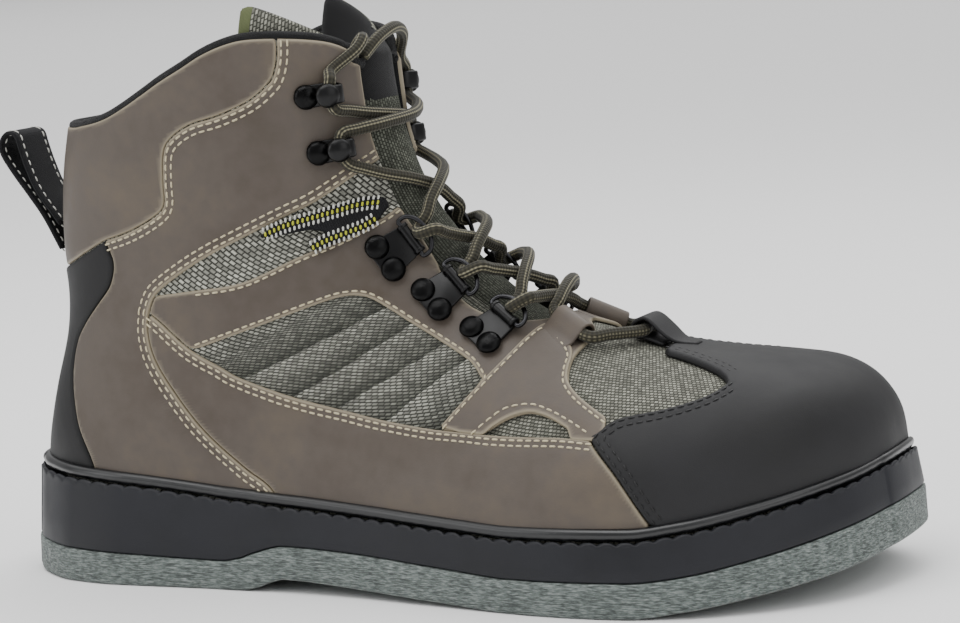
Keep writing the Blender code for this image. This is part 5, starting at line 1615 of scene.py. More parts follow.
@dataclass
class Overlays:
    """The tan panels, the toe cap and the heel counter."""

    leather: float = 1.3 * MM
    lapped: float = 1.9 * MM
    film: float = 2.2 * MM
    lift: float = 1.4 * MM
    half: float = GAP / 2

    def build(self) -> None:
        """Make every overlay."""
        half = self.half
        far = len(COLLAR_SEAM) - 1
        seam = stretch(COLLAR_SEAM, 0, far)
        counter = stretch(COUNTER_TOP, 0, len(COUNTER_TOP) - 1)
        front = stretch(COUNTER_FRONT, 0, len(COUNTER_FRONT) - 2)
        ankle = stretch(ANKLE_FRONT, 0, len(ANKLE_FRONT) - 2)
        ankle_top = stretch(ANKLE_TOP, 0, len(ANKLE_TOP) - 1)
        foxing = stretch(FOXING_TOP, 0, len(FOXING_TOP) - 1)
        cap = stretch(CAP_REAR, 1, len(CAP_REAR) - 1)
        Panel("collar_panel", joined(side_points((-0.1, 1.1)), shifted(counter, half)[:-1],
                                     shifted(seam, -half)[::-1]),
              self.leather, TAN_LEATHER, open_at_mouth=True).build()
        Panel("heel_counter", joined(shifted(counter, -half)[:-1], shifted(front, -half),
                                     floor_line(0.103, 0.004, self.lift), side_points((0.0, -0.3), (-0.1, -0.3))),
              self.lapped, COUNTER_RUBBER, painted_edge_highlight=0.0, rim=1.5 * MM).build()
        Panel("toe_cap", joined(shifted(cap, -half), side_points((1.1, 0.5)), floor_line(1.1, 0.815, self.lift)),
              self.film, CAP_RUBBER, rim=1.4 * MM, painted_edge_highlight=0.0,
              rows=[Row(cap[:56], 1.8 * MM, BLACK_THREAD), Row(cap[:54], 4.2 * MM, BLACK_THREAD),
                    Row(self.over_toes(1.8), 0.0, BLACK_THREAD), Row(self.over_toes(4.2), 0.0, BLACK_THREAD)],
              plan=CAP_TOP).build()
        for hand in Hand:
            side = hand.name.lower()
            Panel("ankle_panel_" + side,
                  joined(shifted(seam, half), shifted(front, half)[1:], floor_line(0.106, 0.345, self.lift),
                         shifted(ankle, -half)[::-1], shifted(ankle_top, -half)[-2::-1],
                         side_points((0.5, 1.1))),
                  self.lapped, TAN_LEATHER, hand, True, True,
                  rows=[Row(seam, 1.4 * MM, BEIGE_THREAD), Row(seam, 3.4 * MM, BEIGE_THREAD),
                        Row(ankle, 1.6 * MM, BEIGE_THREAD), Row(ankle, 3.6 * MM, BEIGE_THREAD),
                        Row(ankle_top, 1.6 * MM, BEIGE_THREAD), Row(ankle_top, 3.6 * MM, BEIGE_THREAD)]).build()
            Panel("foxing_" + side,
                  joined(shifted(ankle, half), floor_line(0.345, 0.805, self.lift),
                         shifted(stretch(CAP_REAR, 1, 3), half), shifted(foxing, -half)[::-1]),
                  self.lapped, TAN_LEATHER, hand,
                  rows=[Row(foxing, 1.6 * MM, BEIGE_THREAD), Row(foxing, 3.4 * MM, BEIGE_THREAD)]).build()
            last = len(ANKLE_TOP) - 1
            window = spline(SIDE_WINDOW)
            wedge = spline(SMALL_WINDOW)
            edge = spline(EYESTAY_EDGE)
            Panel("eyestay_" + side,
                  joined(shifted(stretch(ANKLE_TOP, last - 1, last), half),
                         shifted(stretch(FOXING_TOP, 1, 2), half), window[::-1],
                         side_points((0.557, 0.299), (0.605, 0.295)), wedge[::-1],
                         side_points((0.716, 0.293), (0.738, 0.290)), edge[::-1]),
                  self.leather, TAN_LEATHER, hand, True, True,
                  rows=[Row(window, 1.4 * MM, BEIGE_THREAD), Row(edge[:41], 1.4 * MM, BEIGE_THREAD)]).build()
            leg, cut = spline(LEG_ROW), spline(WEDGE_ROW)
            Panel("leg_" + side,
                  joined(shifted(leg, 1.3 * MM), side_points((0.755, 0.290), (0.716, 0.291)), wedge,
                         side_points((0.610, 0.294), (0.580, 0.296))),
                  0.7 * MM, TAN_LEATHER, hand, base=1.55 * MM, slot="eyestay_" + side,
                  rows=[Row(leg, 0.0, BEIGE_THREAD), Row(cut, 0.0, BEIGE_THREAD)]).build()


    @staticmethod
    def over_toes(inset: float) -> np.ndarray:
        """The cap's rear edge over the toes, moved onto the cap by some millimetres."""
        shares, halves = np.array(CAP_TOP[1:-1]).T
        flat = np.stack([SOLE.run(shares), halves * MM], 1)
        flat = dense(shifted(flat, -inset * MM))
        return np.stack([flat[:, 0], flat[:, 1], np.full(len(flat), 0.45 * LAST.shaft_height)], 1)


@dataclass
class UpperShell:
    """The knitted shell with its lining, open at collar, throat and underneath."""

    wall: float = 2.2 * MM
    band_height: float = 0.8 * MM
    band_lines: tuple[tuple[tuple[float, float], ...], ...] = (
        ((0.255, 0.345), (0.309, 0.387), (0.360, 0.423), (0.406, 0.457), (0.441, 0.484), (0.490, 0.520)),
        ((0.320, 0.310), (0.372, 0.357), (0.421, 0.401), (0.462, 0.438), (0.496, 0.473), (0.540, 0.515)),
        ((0.380, 0.296), (0.424, 0.335), (0.475, 0.380), (0.509, 0.412), (0.534, 0.436), (0.575, 0.476)),
        ((0.465, 0.290), (0.490, 0.320), (0.521, 0.359), (0.547, 0.391), (0.563, 0.410), (0.600, 0.455)),
    )

    def bands(self, cloth: Cloth) -> np.ndarray:
        """Where a point lies between two band edges, from 0 at a raised edge to 1 at the next."""
        along = (cloth.points[:, 0] - SOLE.run(0)) / (SOLE.run(1) - SOLE.run(0))
        up = cloth.points[:, 2] / LAST.shaft_height
        below = []
        for line in self.band_lines:
            xs, zs = np.array(line).T
            ends = np.polyfit(xs, zs, 1)
            at = np.where((along < xs[0]) | (along > xs[-1]), np.polyval(ends, along), np.interp(along, xs, zs))
            below.append(at - up)
        below = np.sort(np.array(below), axis=0)[::-1]
        value = np.clip(1 + below[0] / 0.10, 0, 1)
        widths = [below[k] - below[k + 1] for k in range(len(below) - 1)] + [np.full(len(up), 0.09)]
        for k, width in enumerate(widths):
            value = np.where(below[k] > 0, np.clip(below[k] / np.maximum(width, 0.02), 0, 1), value)
        return value

    def build(self) -> None:
        """Make the shell."""
        cloth = SHELL.part(np.array([[-1.0, -1.0], [1.0, 1.0]]), None)
        cloth.values["open"] = np.maximum(cloth.values["mouth"], cloth.values["throat"])
        cloth = cloth.below("open", 0)
        along = (cloth.points[:, 0] - SOLE.run(0)) / (SOLE.run(1) - SOLE.run(0))
        for k, line in enumerate(self.band_lines):
            xs, zs = np.array(line).T
            name = "line%d" % k
            where = (cloth.points[:, 0] - SOLE.run(0)) / (SOLE.run(1) - SOLE.run(0))
            fit = np.polyfit(xs, zs, 1)
            at = np.where((where < xs[0]) | (where > xs[-1]), np.polyval(fit, where), np.interp(where, xs, zs))
            cloth.values[name] = (at - cloth.points[:, 2] / LAST.shaft_height) * LAST.shaft_height
            near = (where > xs[0]) & (where < xs[-1])
            cloth.values[name] = np.where(near, cloth.values[name], np.sign(cloth.values[name]) * 0.05)
            cloth.split(name, 0.0)
            cloth.split(name, -0.5 * MM)
        along = (cloth.points[:, 0] - SOLE.run(0)) / (SOLE.run(1) - SOLE.run(0))
        band = self.bands(cloth)
        side = np.clip((0.62 - along) / 0.04, 0, 1)
        outer = -0.15 * MM + self.band_height * (1 - band) ** 0.8 * side
        mid = cloth.faces
        centre = along[mid].mean(1)
        vamp = centre > 0.60
        mesh = shell_mesh("upper", cloth, outer, np.full(len(outer), -self.wall), 2)
        slots = np.zeros(len(mesh.polygons), np.int32)
        mesh.polygons.foreach_get("material_index", slots)
        slots[:len(mid)][vamp] = 1
        mesh.polygons.foreach_set("material_index", slots)
        # The band attribute drives the painted light at each band's raised edge and the painted shade towards the
        # next; the vamp gets a fixed value
        mark(mesh, band=np.tile(np.where(along > 0.60, 0.4, band), 2))
        for finish in (QUARTER_KNIT, VAMP_MESH, BLACK_LINING):
            mesh.materials.append(finish.material())
        hang(new_object("upper_piece", mesh), "upper", "upper")


@dataclass
class Tongue:
    """The padded tongue: a black face, grey mesh wings and an olive edge."""

    outer: float = -2.5 * MM
    thick: float = 6.0 * MM
    roll: float = 5.0 * MM
    edge: float = 4.5 * MM
    bulge: float = 2.6 * MM

    def build(self) -> None:
        """Make the tongue as one padded piece."""
        side = spline(TONGUE_SIDE)
        top = spline(TONGUE_TOP)
        outline = joined(side, side_points((0.8, 0.5), (0.8, TONGUE_TOP[0][1])), top)
        cloth = SURFACE.part(outline, None)
        lines = [run for hand in Hand for run in SURFACE.in_space(np.concatenate([side]), hand)]
        lines += [run for hand in Hand for run in SURFACE.in_space(top, hand)]
        cloth.values["rim"] = SURFACE.edge_value(cloth, outline, lines)
        cloth = cloth.below("rim", 0)
        for level in (0.3, 0.9, 2.0, 3.5):
            cloth.split("rim", -level * MM)
        cloth.values["wing"] = np.abs(cloth.points[:, 1]) - self.wing_half(cloth)
        cloth.split("wing", 0.0)
        cloth.values["side"] = distance_to(cloth.points, [run for hand in Hand for run in
                                                          SURFACE.in_space(side[:18], hand)])
        cloth.split("side", self.edge)
        depth = np.clip(-cloth.values["rim"], 0, None)
        t = np.clip(depth / self.roll, 0, 1)
        puff = np.sqrt(1 - (1 - t) ** 2)
        middle = self.outer - self.thick / 2
        seam = np.exp(-(cloth.values["wing"] / (1.6 * MM)) ** 2)
        y, z = np.abs(cloth.points[:, 1]), cloth.points[:, 2]
        bulge = np.clip(1 - (y / (17 * MM)) ** 2, 0, 1) * np.clip((z - 0.09) / 0.03, 0, 1) * self.bulge
        outer = middle + self.thick / 2 * (0.12 + 0.88 * puff) - 0.9 * MM * seam + bulge * puff
        inner = middle - self.thick / 2 * (0.12 + 0.88 * puff)
        mesh = shell_mesh("tongue", cloth, outer, inner, 0)
        slots = np.zeros(len(mesh.polygons), np.int32)
        faces = cloth.faces
        wing = cloth.values["wing"][faces].mean(1) > 0
        deep = cloth.values["side"][faces].mean(1)
        high = cloth.points[:, 2][faces].mean(1)
        front = np.zeros(len(faces), np.int32)
        front[wing] = 1
        front[~wing & (high < 162 * MM)] = 2
        front[(deep < self.edge) & (high > 165 * MM)] = 3
        slots[:len(faces)] = front
        mesh.polygons.foreach_set("material_index", slots)
        mark(mesh, band=np.full(len(mesh.vertices), 0.4))
        for finish in (BLACK_LINING, VAMP_MESH, OLIVE_MESH, OLIVE_BINDING):
            mesh.materials.append(finish.material())
        piece = new_object("tongue_piece", mesh)
        hang(piece, "tongue", "tongue")

    @staticmethod
    def wing_half(cloth: Cloth) -> np.ndarray:
        """Half the width of the tongue's face at each point's height."""
        z = cloth.points[:, 2]
        return np.interp(z, [0.10, 0.14, 0.17, 0.20], [0.014, 0.017, 0.021, 0.024])


def loft(name: str, rings: list[np.ndarray], closed: bool = False, turns: np.ndarray | None = None
         ) -> bpy.types.Mesh:
    """Join rings of points into a closed mesh with UVs in metres.

    Args:
        name: the mesh's name.
        rings: rings with the same number of points, lateral heel to toe and back.
        closed: the last ring joins the first; otherwise both ends are capped.
        turns: distance round the ring at each point, if known.

    Returns:
        The mesh.
    """
    count = len(rings[0])
    points = np.concatenate(rings)
    far = np.concatenate([[0], np.cumsum(np.linalg.norm(np.diff(
        np.concatenate([rings[0], rings[0][:1]]), axis=0), axis=1))]) if turns is None else turns
    level = np.concatenate([[0], np.cumsum([np.linalg.norm(b - a, axis=1).mean() for a, b in
                                            zip(rings, rings[1:] + rings[:1])])])
    faces, corners = [], []
    total = len(rings) if closed else len(rings) - 1
    for k in range(total):
        n = (k + 1) % len(rings)
        for j in range(count):
            m = (j + 1) % count
            faces.append((k * count + j, k * count + m, n * count + m, n * count + j))
            corners += [(far[j], level[k]), (far[j + 1], level[k]), (far[j + 1], level[k + 1]),
                        (far[j], level[k + 1])]
    if not closed:
        for base, flip in ((0, True), ((len(rings) - 1) * count, False)):
            half = count // 2
            for j in range(half):
                a, b, c, d = j, j + 1, (count - j - 1) % count, (count - j) % count
                quad = [base + a, base + b, base + c, base + d]
                quad = [v for i, v in enumerate(quad) if v not in quad[:i]]
                if len(quad) < 3:
                    continue
                faces.append(tuple(quad[::-1] if flip else quad))
                corners += [(points[v][0], points[v][1]) for v in faces[-1]]
    mesh = bpy.data.meshes.new(name)
    mesh.from_pydata(points.tolist(), [], faces)
    mesh.uv_layers.new(name="UVMap").data.foreach_set("uv", np.array(corners, np.float32).ravel())
    mesh.polygons.foreach_set("use_smooth", np.ones(len(faces), bool))
    mesh.update()
    return mesh


@dataclass
class Sole:
    """Felt outsole, rubber midsole with a scalloped edge, welt and insole."""

    steps: int = 720
    flare: float = 2.0 * MM
    bead: float = 2.0 * MM
    heel_pitch: float = 7.5 * MM
    toe_pitch: float = 6.0 * MM
    scallop: float = 1.3 * MM
    groove: float = 1.6 * MM

    def ring(self, inset: float, height: np.ndarray | float) -> np.ndarray:
        """A ring at an inset; the height is a number over the wall's seat or one for each point."""
        plan = SOLE.ring(inset, self.steps)
        return np.column_stack([plan, np.zeros(len(plan)) + height])

    def bumps(self) -> tuple[np.ndarray, np.ndarray]:
        """Scallop height, from 0 in a notch to 1 on a bump, and each notch's share of the ring."""
        plan = SOLE.ring(0, self.steps)
        far = np.concatenate([[0], np.cumsum(np.linalg.norm(np.diff(plan, axis=0), axis=1))])
        share = np.clip((plan[:, 0] + SOLE.heel_rest) / SOLE.length, 0, 1)
        pitch = self.heel_pitch + (self.toe_pitch - self.heel_pitch) * share
        phase = np.concatenate([[0], np.cumsum(np.diff(far) / pitch[:-1])])
        phase *= round(phase[-1]) / phase[-1]
        wave = np.abs(np.sin(math.pi * phase))
        return wave ** 0.45, phase

    def build(self) -> None:
        """Make the four pieces."""
        self.felt()
        self.midsole()
        self.welt()
        inside = SOLE.shelf + 2.2 * MM + 2.0 * MM
        rings = []
        for inset, lift in ((0.0, 0.7), (0.0, 4.2), (0.5, 4.7), (3.0, 4.9)):
            plan = SOLE.ring(inside + inset * MM, 200)
            rings.append(np.column_stack([plan, SOLE.seat(plan[:, 0]) + lift * MM]))
        mesh = loft("insole", rings)
        mesh.materials.append(INSOLE_CLOTH.material())
        hang(outward(new_object("insole_piece", mesh)), "insole", "insole")

    def felt(self) -> None:
        """The felt, with a soft lower edge."""
        rings = []
        rows = [(2.2, 0.0, 0.0), (0.9, 0.15, 0.0), (0.25, 0.7, 0.0), (0.0, 1.6, 0.0), (0.1, 0.0, 0.35),
                (0.25, 0.0, 0.7), (0.35, 0.0, 0.93), (0.6, 0.0, 1.0)]
        for inset, lift, share in rows:
            plan = SOLE.ring(inset * MM, self.steps)
            low, top = SOLE.ground(plan[:, 0]), SOLE.felt_top(plan[:, 0])
            rings.append(np.column_stack([plan, low + lift * MM + (top - low - lift * MM) * share]))
        mesh = loft("felt", rings)
        mesh.materials.append(SOLE_FELT.material())
        hang(outward(new_object("outsole_felt_piece", mesh)), "outsole_felt", "outsole_felt")

    def midsole(self) -> None:
        """The wall, up to its scalloped edge and the floor of the stitch groove."""
        wave, _ = self.bumps()
        rings = []
        for inset, lift, share in ((1.6, 0.3, 0), (0.9, 0.5, 0), (0.75, 1.0, 0), (1.3, 0, 0.35), (1.9, 0, 0.65),
                                   (2.3, 0, 0.86), (2.4, 0, 0.91)):
            plan = SOLE.ring(inset * MM, self.steps)
            low, top = SOLE.felt_top(plan[:, 0]), SOLE.wall_top(plan[:, 0])
            rings.append(np.column_stack([plan, low + lift * MM + (top - low - lift * MM) * share]))
        top = [(2.35, -1.0, 0.0, 0.5), (2.45, -0.5, 0.6, 1.0), (2.8, -0.1, 0.9, 1.0), (3.2, 0.05, 1.0, 0.8),
               (3.6, -0.3, 0.9, 0.3), (3.8, -1.6, 0.2, 0.0), (6.5, -1.8, 0.0, 0.0)]
        for inset, lift, dip, cut in top:
            notch = (1 - wave) * self.scallop
            plan = SOLE.ring(inset * MM, self.steps)
            z = SOLE.wall_top(plan[:, 0]) + lift * MM - dip * notch
            centre = np.stack([plan[:, 0] * 0 + 1, plan[:, 1] * 0], 1)
            towards = SOLE.ring((inset + 1.0) * MM, self.steps) - plan
            plan = plan + towards * (cut * (1 - wave) * 0.9)[:, None]
            rings.append(np.column_stack([plan, z + 0 * centre[:, 1]]))
        mesh = loft("midsole", rings)
        mesh.materials.append(MIDSOLE_RUBBER.material())
        hang(outward(new_object("midsole_piece", mesh)), "midsole", "midsole")

    def welt(self) -> None:
        """The glossy bead beside the upper, over the groove."""
        rings = []
        centre = SOLE.shelf - 2.2 * MM
        for turn in np.linspace(0, 2 * math.pi, 13)[:-1]:
            inset = centre - self.bead * math.cos(turn)
            plan = SOLE.ring(inset, self.steps // 2)
            z = SOLE.wall_top(plan[:, 0]) + self.bead * (1.0 + 1.05 * math.sin(turn))
            rings.append(np.column_stack([plan, z]))
        mesh = loft("welt", rings, closed=True)
        mesh.materials.append(WELT_RUBBER.material())
        hang(outward(new_object("welt_piece", mesh)), "welt", "welt")


@dataclass(frozen=True)
class Seat:
    """A seat of a fitting seen from the side, and what it points at."""

    along: float
    up: float
    aim_along: float
    aim_up: float


def seat_matrix(offset: float, seat: Seat, hand: Hand, foot: list[tuple[float, float]]) -> Matrix:
    """A frame on the boot's side: Z out, X towards the seat's aim.

    Args:
        offset: height of the surface over the last.
        seat: where it sits.
        hand: the side of the boot.
        foot: points of its foot that stay clear of the surface.

    Returns:
        The frame.
    """
    tree = SURFACE.tree_at(offset)
    found = []
    for along, up in ((seat.along, seat.up), (seat.aim_along, seat.aim_up)):
        start = Vector((SOLE.run(along), hand.value * 0.2, up * LAST.shaft_height))
        found.append(tree.ray_cast(start, Vector((0, -hand.value, 0)))[:2])
    (point, normal), (target, _) = found
    ahead = target - point
    x_axis = (ahead - normal * ahead.dot(normal)).normalized()
    turn = Matrix((x_axis, normal.cross(x_axis), normal)).transposed()
    lift = 0.0
    for x, y in foot:
        corner = point + turn @ Vector((x, y, 0))
        near = tree.find_nearest(corner)[0]
        lift = max(lift, (near - corner).dot(normal))
    return Matrix.Translation(point + normal * lift) @ turn.to_4x4()


def foot_points(back: float, front: float, wide: float) -> list[tuple[float, float]]:
    """Corner and middle points of a foot plate."""
    return [(back + (front - back) * k / 4, wide * n / 2) for k in range(5) for n in range(-2, 3)]


def strip_mesh(name: str, path: np.ndarray, across: np.ndarray, width: np.ndarray, thick: float
               ) -> bpy.types.Mesh:
    """A flat strip with rounded sides along a path.

    Args:
        name: the mesh's name.
        path: points by XYZ.
        across: unit vectors across it.
        width: its width at each point.
        thick: its thickness.

    Returns:
        A closed mesh with UVs in metres.
    """
    ahead = np.gradient(path, axis=0)
    ahead /= np.maximum(np.linalg.norm(ahead, axis=1, keepdims=True), 1e-9)
    out = np.cross(ahead, across)
    out /= np.maximum(np.linalg.norm(out, axis=1, keepdims=True), 1e-9)
    turn = np.concatenate([np.linspace(-90, 90, 6), np.linspace(90, 270, 6)]) * math.pi / 180
    middle = np.concatenate([np.ones(6), -np.ones(6)])
    rings = []
    for p, a, o, w in zip(path, across, out, width):
        radius = min(thick / 2, w / 2)
        side = middle * (w / 2 - radius) + radius * np.cos(turn)
        rise = thick / 2 * np.sin(turn)
        rings.append(p + side[:, None] * a + rise[:, None] * o)
    count = len(turn)
    points = np.concatenate(rings)
    far = np.concatenate([[0], np.cumsum(np.linalg.norm(np.diff(path, axis=0), axis=1))])
    reach = np.concatenate([[0], np.cumsum(np.linalg.norm(np.diff(
        np.concatenate([rings[len(rings) // 2], rings[len(rings) // 2][:1]]), axis=0), axis=1))])
    faces, corners = [], []
    for k in range(len(path) - 1):
        for j in range(count):
            n = (j + 1) % count
            faces.append((k * count + j, k * count + n, (k + 1) * count + n, (k + 1) * count + j))
            corners += [(far[k], reach[j]), (far[k], reach[j + 1]), (far[k + 1], reach[j + 1]),
                        (far[k + 1], reach[j])]
    for base, flip in ((0, True), ((len(path) - 1) * count, False)):
        face = [base + j for j in range(count)]
        faces.append(tuple(face[::-1] if flip else face))
        corners += [(0.0, 0.0)] * count
    mesh = bpy.data.meshes.new(name)
    mesh.from_pydata(points.tolist(), [], faces)
    mesh.uv_layers.new(name="UVMap").data.foreach_set("uv", np.array(corners, np.float32).ravel())
    mesh.polygons.foreach_set("use_smooth", np.ones(len(faces), bool))
    mesh.update()
    return mesh


def dome(name: str, radius: float, height: float, flat: float, segments: int = 16, rings: int = 5
         ) -> bpy.types.Object:
    """A rivet head: a low dome with a small flat, standing on Z = 0.

    Args:
        name: its name.
        radius: half its width.
        height: its height.
        flat: share of the radius that is flat on top.
        segments: points round it.
        rings: rings up its side.

    Returns:
        An object that only carries the shape.
    """
    around = np.arange(segments) * 2 * math.pi / segments
    loops = []
    for t in np.linspace(0, math.pi / 2, rings):
        wide = radius * (flat + (1 - flat) * math.cos(t))
        loops.append(np.stack([wide * np.cos(around), wide * np.sin(around),
                               np.full(segments, height * math.sin(t))], 1))
    points = np.concatenate([np.array([[0, 0, -0.2 * MM]])] + loops + [np.array([[0, 0, height * 1.03]])])
    faces = []
    for k in range(rings - 1):
        for j in range(segments):
            n = (j + 1) % segments
            faces.append((1 + k * segments + j, 1 + k * segments + n, 1 + (k + 1) * segments + n,
                          1 + (k + 1) * segments + j))
    last = 1 + (rings - 1) * segments
    for j in range(segments):
        n = (j + 1) % segments
        faces += [(0, 1 + n, 1 + j), (last + j, last + n, len(points) - 1)]
    mesh = bpy.data.meshes.new(name)
    mesh.from_pydata(points.tolist(), [], faces)
    return outward(new_object(name, mesh))


def plate(name: str, corners: list[tuple[float, float]], low: float, thick: float, round_off: float
          ) -> bpy.types.Mesh:
    """A stamped plate with softened edges.

    Args:
        name: its name.
        corners: its outline in X and Y.
        low: height of its underside.
        thick: its thickness.
        round_off: width of the bevel.

    Returns:
        The mesh.
    """
    shape = bmesh.new()
    face = shape.faces.new([shape.verts.new((x, y, low)) for x, y in corners])
    raised = bmesh.ops.extrude_face_region(shape, geom=[face])
    bmesh.ops.translate(shape, verts=[v for v in raised["geom"] if isinstance(v, bmesh.types.BMVert)],
                        vec=(0, 0, thick))
    bmesh.ops.bevel(shape, geom=shape.edges[:], offset=round_off, segments=2, affect="EDGES", profile=0.6)
    bmesh.ops.recalc_face_normals(shape, faces=shape.faces)
    for found in shape.faces:
        found.smooth = True
    mesh = bpy.data.meshes.new(name)
    shape.to_mesh(mesh)
    shape.free()
    return mesh


def merged(name: str, meshes: list[bpy.types.Mesh], turn: Matrix) -> bpy.types.Mesh:
    """Meshes joined into one and moved to their place."""
    shape = bmesh.new()
    for mesh in meshes:
        shape.from_mesh(mesh)
    shape.transform(turn)
    result = bpy.data.meshes.new(name)
    shape.to_mesh(result)
    shape.free()
    return result


@dataclass
class Fittings:
    """Speed hooks, ring clips and wire rings, and where the lace turns in them."""

    lace: float = 4.2 * MM
    rivet: float = 8.4 * MM
    rivet_height: float = 2.0 * MM
    rivet_pitch: float = 9.2 * MM
    clip_reach: float = 10.8 * MM
    clip_plate: float = 1.4 * MM
    roller: float = 3.4 * MM
    roller_length: float = 11.0 * MM
    wire: float = 1.6 * MM
    ring_reach: float = 6.0 * MM
    hook_reach: float = 10.8 * MM
    hook_width: float = 6.0 * MM
    hook_height: float = 8.2 * MM
    hook_plate: float = 1.3 * MM
    hooks: tuple[Seat, ...] = (Seat(0.395, 0.891, 0.440, 0.901), Seat(0.402, 0.789, 0.440, 0.799))
    clips: tuple[Seat, ...] = (Seat(0.466, 0.592, 0.486, 0.617), Seat(0.520, 0.515, 0.540, 0.540),
                               Seat(0.581, 0.452, 0.601, 0.477))
    turns: list[dict[Hand, list[Vector]]] = field(default_factory=list)

    def build(self) -> None:
        """Make every fitting."""
        self.turns = [{} for _ in self.hooks + self.clips]
        spots: list[tuple[Matrix, float]] = []
        spots += self.make_hooks()
        spots += self.make_clips()
        for size, label in ((self.rivet / 2, "clip"), (4.2 * MM, "hook")):
            frames = [m for m, radius in spots if radius == size]
            head = dome(label + "_rivet_shape", size, 0.5 * size, 0.1, 24)
            places = np.array([tuple(m.translation) for m in frames])
            ups = np.array([tuple(m.col[2][:3]) for m in frames])
            aheads = np.array([tuple(m.col[0][:3]) for m in frames])
            piece = REPEAT.make(label + "_rivets", [places], [ups], head, BLACK_ENAMEL, 0.0, [aheads])
            bpy.data.objects.remove(head, do_unlink=True)
            hang(piece, label + "_1")

    def make_hooks(self) -> list[tuple[Matrix, float]]:
        """Speed hooks: a strap bent back over itself from a riveted foot."""
        reach, high = self.hook_reach, self.hook_height
        foot = foot_points(-0.32 * reach, reach, 4.2 * MM)
        t = self.hook_plate / 2
        knots = [(-0.32 * reach, 0, t), (0, 0, t), (0.55 * reach, 0, t), (0.9 * reach, 0, t + 0.1 * MM),
                 (reach + 0.6 * MM, 0, 0.25 * high), (reach + 0.9 * MM, 0, 0.5 * high),
                 (reach + 0.5 * MM, 0, 0.8 * high), (0.88 * reach, 0, high - t), (0.7 * reach, 0, high - t),
                 (0.5 * reach, 0, high - 0.8 * t)]
        path = smooth_route(np.array(knots), 5)
        far = np.linspace(0, 1, len(path))
        width = np.interp(far, [0, 0.06, 0.25, 0.45, 0.68, 0.8, 0.9, 0.96, 1],
                          [0.005, 0.008, 0.0075, 0.0062, 0.0062, 0.0062, 0.006, 0.0045, 0.002])
        strap = strip_mesh("hook", path, np.tile([0.0, 1.0, 0.0], (len(path), 1)), width, self.hook_plate)
        button = dome("hook_button", 4.1 * MM, 1.9 * MM, 0.1, 20)
        head = merged("hook_head", [button.data], Matrix.Translation((reach - 4.0 * MM, 0, high - 0.7 * MM)))
        bpy.data.objects.remove(button, do_unlink=True)
        inside_bend = Vector((reach - self.lace / 2 - 1.0 * MM, 0, high / 2))
        spots, number = [], 1
        for hand in Hand:
            for row, seat in enumerate(self.hooks):
                place = seat_matrix(2.5 * MM, seat, hand, foot)
                mesh = merged("hook_%d" % number, [strap, head], place)
                mesh.materials.append(BLACK_ENAMEL.material())
                name = "hook_%d" % number
                hang(outward(new_object(name + "_piece", mesh)), name, name)
                rise = Vector((0.9 * MM, -hand.value * 4.9 * MM, 0))
                self.turns[-1 - row][hand] = [
                    place @ (inside_bend + Vector((abs(k) * rise.x, k * rise.y, 0))) for k in (-1, 0, 1)]
                spots.append((place @ Matrix.Translation((0, 0, self.hook_plate)), 4.2 * MM))
                number += 1
        return spots

    def make_clips(self) -> list[tuple[Matrix, float]]:
        """Ring clips: a plate with two rivets, rolled at its front round a wire ring."""
        back, wide = -4.2 * MM, self.rivet_pitch / 2 + 2.1 * MM
        half = self.roller_length / 2
        foot = foot_points(back, self.clip_reach, wide)
        tip = 0.7 * wide
        corners = [(back + 2.2 * MM, -wide), (2.0 * MM, -wide), (self.clip_reach, -half), (self.clip_reach, half),
                   (2.0 * MM, wide), (back + 2.2 * MM, wide), (back + 0.8 * MM, tip), (back + 0.8 * MM, -tip)]
        base = plate("clip_plate", corners, 0, self.clip_plate, 0.35 * MM)
        lift = self.roller / 2 + 0.2 * MM
        ends = np.linspace(-half, half, 9)
        route = np.column_stack([np.full(9, self.clip_reach), ends, np.full(9, lift)])
        roll = tube_mesh("clip_roller", route, self.roller / 2, 14)
        collars = [tube_mesh("clip_collar", np.column_stack([
            np.full(4, self.clip_reach), side * (half - np.array([0, 0.4, 0.9, 1.2]) * MM), np.full(4, lift)]),
            self.roller / 2 + 0.25 * MM, 14) for side in (-1, 1)]
        bow = [(self.clip_reach, half - 0.5 * MM, lift), (self.clip_reach, half + self.wire, lift),
               (self.clip_reach + 0.5 * self.ring_reach, half + 0.9 * self.wire, lift),
               (self.clip_reach + 0.9 * self.ring_reach, 0.7 * half, lift),
               (self.clip_reach + self.ring_reach, 0, lift)]
        bow += [(x, -y, z) for x, y, z in bow[-2::-1]]
        ring = tube_mesh("ring", smooth_route(np.array(bow), 5), self.wire / 2, 10)
        tip_at = self.clip_reach + self.ring_reach
        spots, number = [], 1
        for hand in Hand:
            for row, seat in enumerate(self.clips):
                place = seat_matrix(1.9 * MM, seat, hand, foot)
                for name, meshes, finish in (("clip_%d", [base, roll] + collars, BLACK_ENAMEL),
                                             ("ring_%d", [ring], DARK_WIRE)):
                    name = name % number
                    mesh = merged(name, meshes, place)
                    mesh.materials.append(finish.material())
                    hang(outward(new_object(name + "_piece", mesh)), name, name)
                above = -hand.value
                self.turns[len(self.clips) - 1 - row][hand] = [place @ Vector(spot) for spot in (
                    (tip_at + 2.2 * MM, -above * 2.6 * MM, lift + 2.9 * MM),
                    (tip_at - 2.6 * MM, -above * 0.6 * MM, lift + 1.5 * MM),
                    (tip_at - 2.2 * MM, above * 1.4 * MM, lift - 1.2 * MM),
                    (tip_at + 3.0 * MM, above * 3.4 * MM, lift - 2.0 * MM))]
                for y in (-self.rivet_pitch / 2, self.rivet_pitch / 2):
                    spots.append((place @ Matrix.Translation((0, y, self.clip_plate)), self.rivet / 2))
                number += 1
        return spots


